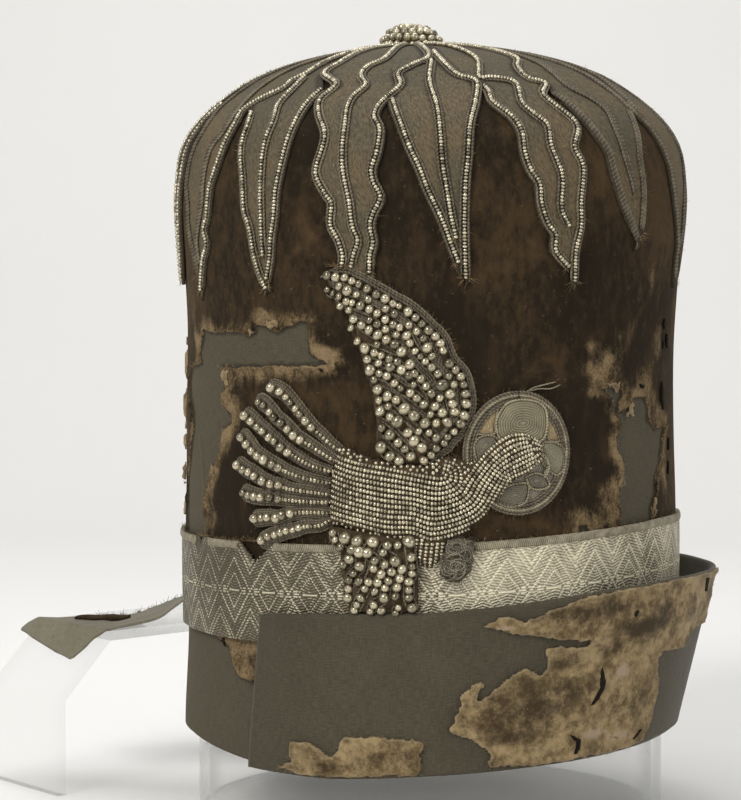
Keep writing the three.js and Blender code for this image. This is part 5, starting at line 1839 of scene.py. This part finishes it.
BRIM_SLITS = [
    [(37.5, 0.55), (38.5, 0.45), (38, 0.4), (36, 0.33), (35, 0.33), (37, 0.43), (37, 0.52)], [(30.5, 0.17),
     (33, 0.13), (33, 0.08), (32, 0.03), (31.5, 0.04), (32, 0.12), (30.5, 0.15)], [(45.5, 0.86), (45, 0.82),
     (44.4, 0.83), (44.5, 0.86)], [(72, 0.97), (74.5, 0.96), (75, 0.87), (73.2, 0.88)], [(48.5, 0.06),
     (50.5, 0.11), (52, 0.1), (49, 0.05)],
]
# Darker pile left on the worn brim velvet: bearing, share of the height, width, height and strength
BRIM_PILE = [
    (21, 0.34, 6, 0.09, 1.0), (17, 0.2, 5, 0.05, 0.6), (28, 0.62, 4, 0.06, 0.7), (35, 0.9, 9, 0.05, 0.9),
    (47, 0.75, 7, 0.06, 1.0), (54, 0.82, 5, 0.1, 0.7), (40, 0.66, 5, 0.05, 0.6), (68, 0.76, 3, 0.07, 0.6),
    (30, 0.45, 4, 0.06, 0.4), (24, 0.93, 4, 0.03, 0.5), (-22, 0.08, 6, 0.05, 0.7), (-8, 0.12, 5, 0.06, 0.8),
]
# Places rubbed to the pale ground of the velvet
BRIM_BALD = [
    (43, 0.5, 4, 0.07, 1.0), (36, 0.15, 5, 0.06, 1.0), (45, 0.1, 5, 0.05, 0.8), (70, 0.7, 5, 0.06, 0.9),
    (15, 0.88, 5, 0.04, 0.9), (60, 0.62, 5, 0.05, 0.7), (52, 0.45, 3, 0.08, 0.6), (74, 0.93, 4, 0.04, 0.7),
]


def on_brim(bearing, fraction, lift):
    """Points on the brim from bearing in degrees, share of its height from the hem, and lift."""
    bearing, fraction, lift = matched(bearing, fraction, lift)
    end = 1 - smooth_step(BRIM[0][0], BRIM[0][0] + 12, bearing)
    turned = bearing + BRIM_END_SLANT * end * fraction
    fold = hem_at(bearing)
    height = fold + (table_at(BRIM, bearing, 1) - fold) * fraction
    off = SEAT + (table_at(BRIM, bearing, 2) - SEAT) * np.maximum(fraction, 0)
    turn = np.radians(bearing)
    wave = 0.5 * np.sin(turn * 9) * fraction + 0.3 * np.sin(turn * 23 + 2) * fraction
    return on_crown(turned, along_at_height(height), off + lift + wave * 0.6)


def on_brim_chart(across, up, lift):
    """The brim's face from a flat chart: length round the hat and a share of the brim's full height."""
    return on_brim(np.degrees(np.asarray(across, float) / HEAD_RADIUS), np.asarray(up, float) / BRIM_FULL,
                   BRIM_WALL + lift)


def brim_chart(points):
    return [(math.radians(b) * HEAD_RADIUS, share * BRIM_FULL) for b, share in points]


def spread_at(spots, across, up):
    total = 0
    bearing, share = np.degrees(across / HEAD_RADIUS), up / BRIM_FULL
    for at, high, wide, tall, strength in spots:
        total = total + strength * np.exp(-(((bearing - at) / wide) ** 2 + ((share - high) / tall) ** 2))
    return total


def brim():
    bearings = np.linspace(BRIM[0][0], BRIM[-1][0], 330)
    fractions = np.concatenate([[0], np.linspace(0.02, 1, 46)])
    lip = np.array([0.35, 0.75, 1.05, 0.75, 0.35])
    outer = on_brim(bearings[:, None], fractions[None, :], BRIM_WALL)
    outer = outer + chance.normal(0, 0.00003, outer.shape)
    rim = on_brim(bearings[:, None], 1 + lip[None, :] * 0.012, np.linspace(BRIM_WALL - 0.2, 0.2, 5)[None, :])
    inner = on_brim(bearings[:, None], fractions[None, :], 0)
    under = on_crown(bearings, along_at_height(hem_at(bearings)), -CLOTH_WALL)[:, None]
    loop = np.concatenate([outer, rim, inner[:, ::-1], under], axis=1)
    rows, columns = loop.shape[:2]
    across = np.radians(bearings)[:, None] * HEAD_RADIUS + np.zeros((rows, columns))
    up = fractions * BRIM_FULL
    run = np.concatenate([up, BRIM_FULL + np.arange(len(lip)) * 0.4, up[::-1], [0]])
    map_mm = np.stack(np.broadcast_arrays(across, run[None, :]), -1)
    make_piece("brim_cloth", loop.reshape(-1, 3), capped_faces(rows, columns), [BRIM_SILK],
               "turned_up_brim", map_mm=map_mm)


def brim_velvet(name, node, outline, slits):
    def worn(across, up):
        return spread_at(BRIM_BALD, across, up) - spread_at(BRIM_PILE, across, up)

    def rise(depth, across, up):
        curl = 0.9 * np.exp(-((depth - 0.6) / 0.8) ** 2) * (0.4 + 0.6 * np.sin(across / 5 + up / 4) ** 2)
        return 0.75 + curl + 0.25 * np.sin(across / 4.1 + 0.5 * np.sin(up / 5)) + 0.2 * np.sin(up / 3.3)

    def slit_rise(depth, across, up):
        return rise(depth + 3, across, up) + 0.25

    torn = ragged(brim_chart(outline), 0.35)
    torn[:, 1] = np.clip(torn[:, 1], 0.6, BRIM_FULL * 1.005)
    patch(name, torn, 0.8, rise, BRIM_WORN, node, on_brim_chart, 0.02, worn)
    # Slits in the worn velvet: near-black patches of painted shadow.
    for k, slit in enumerate(slits):
        torn = ragged(brim_chart(slit), 0.1, 1.0)
        patch(f"{name}_slit_{k}", torn, 0.45, slit_rise, SLIT_SHADOW, node, on_brim_chart, 0.3)


brim()
brim_velvet("brim_velvet_worn_right", "brim_velvet_right", BRIM_VELVET_RIGHT, BRIM_SLITS)
brim_velvet("brim_velvet_worn_left", "brim_velvet_left", BRIM_VELVET_LEFT, [])


def brim_frays():
    """Loose threads round the scraps of velvet on the brim."""
    frays = Gather()
    for outline, count in ((BRIM_VELVET_RIGHT, 260), (BRIM_VELVET_LEFT, 130)):
        felt_rim(frays, on_brim_chart, brim_chart(outline), count, 1.3, 0.8)
    frays.piece("brim_frays", STRAY, "worn_velvet")


brim_frays()


# Woven band: bearing, half width and depth of each notch, and the stretches where its braid is gone
BAND_BEARINGS = np.linspace(-180, 180, 900, endpoint=False)
BRAID_GAPS = [(-45.7, -35.3), (-64, -58)]
BAND_NOTCHES = [(-40.5, 5, 9), (-62, 1.2, 3), (-57, 0.8, 2)]
BRAID_HIGH = 3.0
BRAID_LIFT = 0.45


def galloon():
    """The woven band, notched where its upper edge is torn."""
    low, high = (table_at(BAND, BAND_BEARINGS, column)[:, None] for column in (1, 2))
    bearings = BAND_BEARINGS[:, None]
    torn = high
    for at, wide, deep in BAND_NOTCHES:
        gap = np.maximum(1 - np.abs(bearings - at) / wide, 0)
        torn = torn - deep * gap * (0.85 + 0.15 * np.sin(bearings * 9))
    height = low + (torn - low) * np.linspace(0, 1, 30)
    wave = 0.15 * np.sin(np.radians(bearings) * 31) + chance.normal(0, 0.03, height.shape)
    outer = on_crown(bearings, along_at_height(height), SEAT + BAND_WALL + wave)
    inner = on_crown(bearings, along_at_height(height), SEAT)
    loop = np.concatenate([outer, inner[:, ::-1]], axis=1)
    faces = grid_faces(*loop.shape[:2], closed=True, ring=True)
    across = np.radians(bearings) * HEAD_RADIUS + np.zeros_like(height)
    flat = np.stack([across, height - (low + high) / 2], -1)
    map_mm = np.concatenate([flat, flat[:, ::-1]], axis=1)
    make_piece("galloon_weave", loop.reshape(-1, 3), faces, [GALLOON], "galloon_band",
               map_mm=map_mm)


def galloon_braid():
    """The narrow braid along the band's upper edge, gone where the edge is torn."""
    kept = np.ones(len(BAND_BEARINGS), bool)
    for first, last in BRAID_GAPS:
        kept &= (BAND_BEARINGS < first) | (BAND_BEARINGS > last)
    spans = np.split(np.arange(len(kept)), np.where(np.diff(kept.astype(int)) != 0)[0] + 1)
    braid = Gather()
    share = np.linspace(0, 1, 7)
    shape = BRAID_LIFT * np.sin(share * math.pi) ** 0.5
    sides = 2 * len(share)
    for span in spans:
        if not kept[span[0]]:
            continue
        bearings = BAND_BEARINGS[span][:, None]
        along = along_at_height(table_at(BAND, bearings, 2) - BRAID_HIGH * (1 - share[None, :]))
        upper = on_crown(bearings, along, SEAT + BAND_WALL + 0.15 + shape[None, :])
        lower = on_crown(bearings, along, SEAT + BAND_WALL - 0.2)
        strip = np.concatenate([upper, lower[:, ::-1]], axis=1)
        run = np.repeat(np.radians(BAND_BEARINGS[span]) * HEAD_RADIUS, sides)
        turn = np.tile(np.concatenate([share, share[::-1]]), len(span))
        braid.add(strip, capped_faces(len(span), sides), run=run, turn=turn, tone=0.5)
    braid.piece("galloon_braid", BRAID, "galloon", "galloon_band")


def galloon_frays():
    """Threads frayed from the band's upper edge, most of them round its tear."""
    frays = Gather()
    picks = chance.uniform(-64, -34, 160)
    picks = np.concatenate([picks, chance.uniform(-90, 90, 120)])
    tops = table_at(BAND, picks, 2)
    start = on_crown(picks, along_at_height(tops), 1.2)
    way = unit(on_crown(picks + chance.normal(0, 1.2, len(picks)), along_at_height(tops + 2), 1.8) - start)
    add_hairs(frays, start, way, 1.6)
    frays.piece("galloon_frayed_threads", STRAY, "galloon")


galloon()
galloon_braid()
galloon_frays()


# Lappet of stiff silk, lying over the clear riser. Each row: near edge, far edge, and how far it bows out
LAPPET = [
    (-99.3, 8.7, 81.5, -84.6, 52.8, 83.5, 2.9), (-105, 12.5, 77, -100.5, 57, 78, 1.5),
    (-113, 17, 72, -114.5, 61, 72.4, 0), (-131, 22.5, 67, -127.6, 65, 67.2, 0),
    (-134, 22.7, 64.8, -135.5, 62, 67.1, 0), (-137, 23, 62.5, -143, 60, 67, 0),
    (-140, 23.4, 60, -150.5, 59, 66, 0), (-143, 23.8, 57.5, -158, 58, 64, 0),
    (-146, 24.5, 56, -167, 59.6, 62, 0), (-149.2, 25.2, 54.4, -176, 61.5, 59.4, 0),
]
LAPPET_THICK = 1.0
LAPPET_LIFT = 1.0
LAPPET_WIDE, LAPPET_LONG = 46, 78
LAPPET_FOLD = [(0.3, 0.62), (0.42, 0.78), (0.62, 0.86), (0.72, 0.82), (0.6, 0.7), (0.45, 0.6)]


def riser_surface(x, y):
    turn = math.radians(RISER["bearing"])
    run = (x - RISER["corner"][0]) * math.cos(turn) + (y - RISER["corner"][1]) * math.sin(turn)
    over = 3 * np.clip(2 + run / 6, 0, 1)
    return np.where(run > RISER["reach"], 0, RISER["top"] + np.minimum(0, run + over))


def on_lappet(along, wide, lift):
    """Points on the lappet from shares of its length and width."""
    along, wide, lift = matched(along, wide, lift)
    fine = smooth_line(LAPPET, 8)
    row = resample(fine, np.arange(len(fine)), np.clip(along, 0, 1) * (len(fine) - 1))
    t = np.clip(wide, 0, 1)
    bow = 4 * t * (1 - t) * row[..., 6]
    x = row[..., 0] * (1 - t) + row[..., 3] * t
    y = row[..., 1] * (1 - t) + row[..., 4] * t
    out = np.hypot(x, y)
    wave = 0.35 * np.sin(along * 21 + wide * 6) + 0.25 * np.sin(wide * 17 + along * 5)
    height = np.maximum(row[..., 2] * (1 - t) + row[..., 5] * t, riser_surface(x, y) + LAPPET_LIFT)
    height = height + np.maximum(wave, 0) * 0.6 + lift
    return np.stack([AXIS_X + x + bow * x / out, AXIS_Y + y + bow * y / out, height], -1) * MM


def lappet():
    along, wide = np.linspace(0, 1, 70)[:, None], np.linspace(0, 1, 44)[None, :]
    half = LAPPET_THICK / 2
    top = on_lappet(along, wide, half)
    bottom = on_lappet(along, wide, -half)
    loop = np.concatenate([top, bottom[:, ::-1]], axis=1)
    flat = np.stack(np.broadcast_arrays(along * LAPPET_LONG, wide * LAPPET_WIDE), -1)
    map_mm = np.concatenate([flat, flat[:, ::-1]], axis=1)
    piece = make_piece("lappet_cloth", loop.reshape(-1, 3), capped_faces(*loop.shape[:2]), [LAPPET_SILK],
                       "lappet", map_mm=map_mm)


def lappet_remnants():
    """A remnant of the lappet's velvet face, folded over, and frayed threads at the edge by the hat."""
    def face(across, up, lift):
        return on_lappet(across / LAPPET_LONG, up / LAPPET_WIDE, LAPPET_THICK / 2 + lift)

    outline = [(a * LAPPET_LONG, w * LAPPET_WIDE) for a, w in LAPPET_FOLD]
    patch("lappet_velvet_fold", outline, 1.2, rounded(1.1, 3, 1.0), DARK_VELVET, surface=face)
    hairs = Gather()
    shares = chance.uniform(0, 0.55, 140)
    start = on_lappet(shares, 0.98, 0.2)
    ahead = on_lappet(shares + chance.normal(0, 0.02, len(shares)), 0.9, 1.5)
    way = unit(start - ahead + chance.normal(0, 0.0015, start.shape) + np.array([0, 0, 0.003]))
    add_hairs(hairs, start, way, 2.4, 0.16)
    hairs.piece("lappet_frayed_threads", DARK_THREAD, "velvet")


lappet()
lappet_remnants()


# Stand: a smooth clear tube, and the bent riser
def stand_tube():
    sides = 192
    turn = np.linspace(0, 2 * math.pi, sides, endpoint=False)
    outer, inner, top = TUBE["radius"], TUBE["radius"] - TUBE["wall"], TUBE["top"]
    sink = 0.5
    # Rings round the wall's section, doubled where its faces meet so that their edges stay crisp
    rings = [
        (inner + sink, 0), (outer - sink, 0), (outer, sink), (outer, sink), (outer, top - sink),
        (outer, top - sink), (outer - sink, top), (inner + sink, top),
        (inner, top - sink), (inner, top - sink), (inner, sink), (inner, sink),
    ]
    between_rings = [0, 1, 3, 5, 6, 7, 9, 11]
    loop = np.stack([
        np.stack([AXIS_X + radius * np.sin(turn), AXIS_Y - radius * np.cos(turn), turn * 0 + height], -1) * MM
        for radius, height in rings
    ], 1)
    quads = grid_faces(sides, len(rings), closed=True, ring=True).reshape(sides, -1, 4)[:, between_rings]
    faces = quads.reshape(-1, 4)[:, ::-1]
    make_piece("clear_tube", loop.reshape(-1, 3), faces, [ACRYLIC], "stand_tube")


stand_tube()
bpy.data.objects["stand_riser"].material_slots[0].material = ACRYLIC


# Camera, at the photograph's angle
camera_data = bpy.data.cameras.new("camera")
camera = bpy.data.objects.new("camera", camera_data)
bpy.context.scene.collection.objects.link(camera)
camera_data.sensor_width = 36
camera_data.lens = 103.5
camera_data.clip_start = 0.05
camera_data.clip_end = 20
CAMERA_AT = (0, -920, 203)
# How far below and to the left the camera looks over a long reach
LOOK_REACH, LOOK_DOWN, LOOK_LEFT = 2300, 100, 59.5
PITCH = math.atan(LOOK_DOWN / LOOK_REACH)
YAW = math.atan(LOOK_LEFT / LOOK_REACH)
camera.location = place(*CAMERA_AT)
camera.rotation_euler = (math.pi / 2 - PITCH, 0, YAW)
bpy.context.scene.camera = camera


# Floor and backdrop in one sweep
def sweep():
    width, near, bend_at, bend, tall = 6.0, -3.0, 1.0, 0.6, 3.5
    steps = 12
    points = []
    for x in (-width / 2, width / 2):
        points.append((x, near, 0))
        points.append((x, bend_at, 0))
        for step in range(1, steps + 1):
            turn = math.radians(90 * step / steps)
            points.append((x, bend_at + bend * math.sin(turn), bend - bend * math.cos(turn)))
        points.append((x, bend_at + bend, tall))
    count = len(points) // 2
    faces = [(i, i + count, i + count + 1, i + 1) for i in range(count - 1)]
    mesh = bpy.data.meshes.new("sweep")
    mesh.from_pydata(points, [], faces)
    mesh.shade_smooth()
    made = bpy.data.objects.new("sweep", mesh)
    bpy.context.scene.collection.objects.link(made)
    f = Finish("pale_paper")
    tone = f.noise(f.place(), 3, 2, 0.5)
    paper = f.mix(tone, (0.85, 0.845, 0.83), (0.88, 0.875, 0.86))
    mesh.materials.append(f.surface(Base_Color=paper, Roughness=0.9))


sweep()


# Light
def lamp(name, at, aim, size, power, colour):
    data = bpy.data.lights.new(name, "AREA")
    data.shape = "RECTANGLE"
    data.size, data.size_y = size
    data.energy = power
    data.color = colour
    made = bpy.data.objects.new(name, data)
    bpy.context.scene.collection.objects.link(made)
    made.location = at
    made.rotation_euler = (Vector(aim) - Vector(at)).to_track_quat("-Z", "Y").to_euler()


bpy.context.scene.view_settings.view_transform = "Standard"
AIM = (AXIS_X * MM, AXIS_Y * MM, 0.16)
lamp("key", (-0.9, -1.3, 1.3), AIM, (0.7, 0.7), 25, (1.0, 0.985, 0.96))
lamp("fill", (1.5, -1.1, 0.7), AIM, (1.0, 1.0), 8, (1.0, 0.995, 0.98))
lamp("top", (0.1, 0.2, 1.8), AIM, (1.4, 1.0), 14, (1.0, 1.0, 1.0))
world = bpy.data.worlds.new("room")
bpy.context.scene.world = world
world.use_nodes = True
world.node_tree.nodes["Background"].inputs[0].default_value = (1.0, 0.99, 0.975, 1)
world.node_tree.nodes["Background"].inputs[1].default_value = 0.36
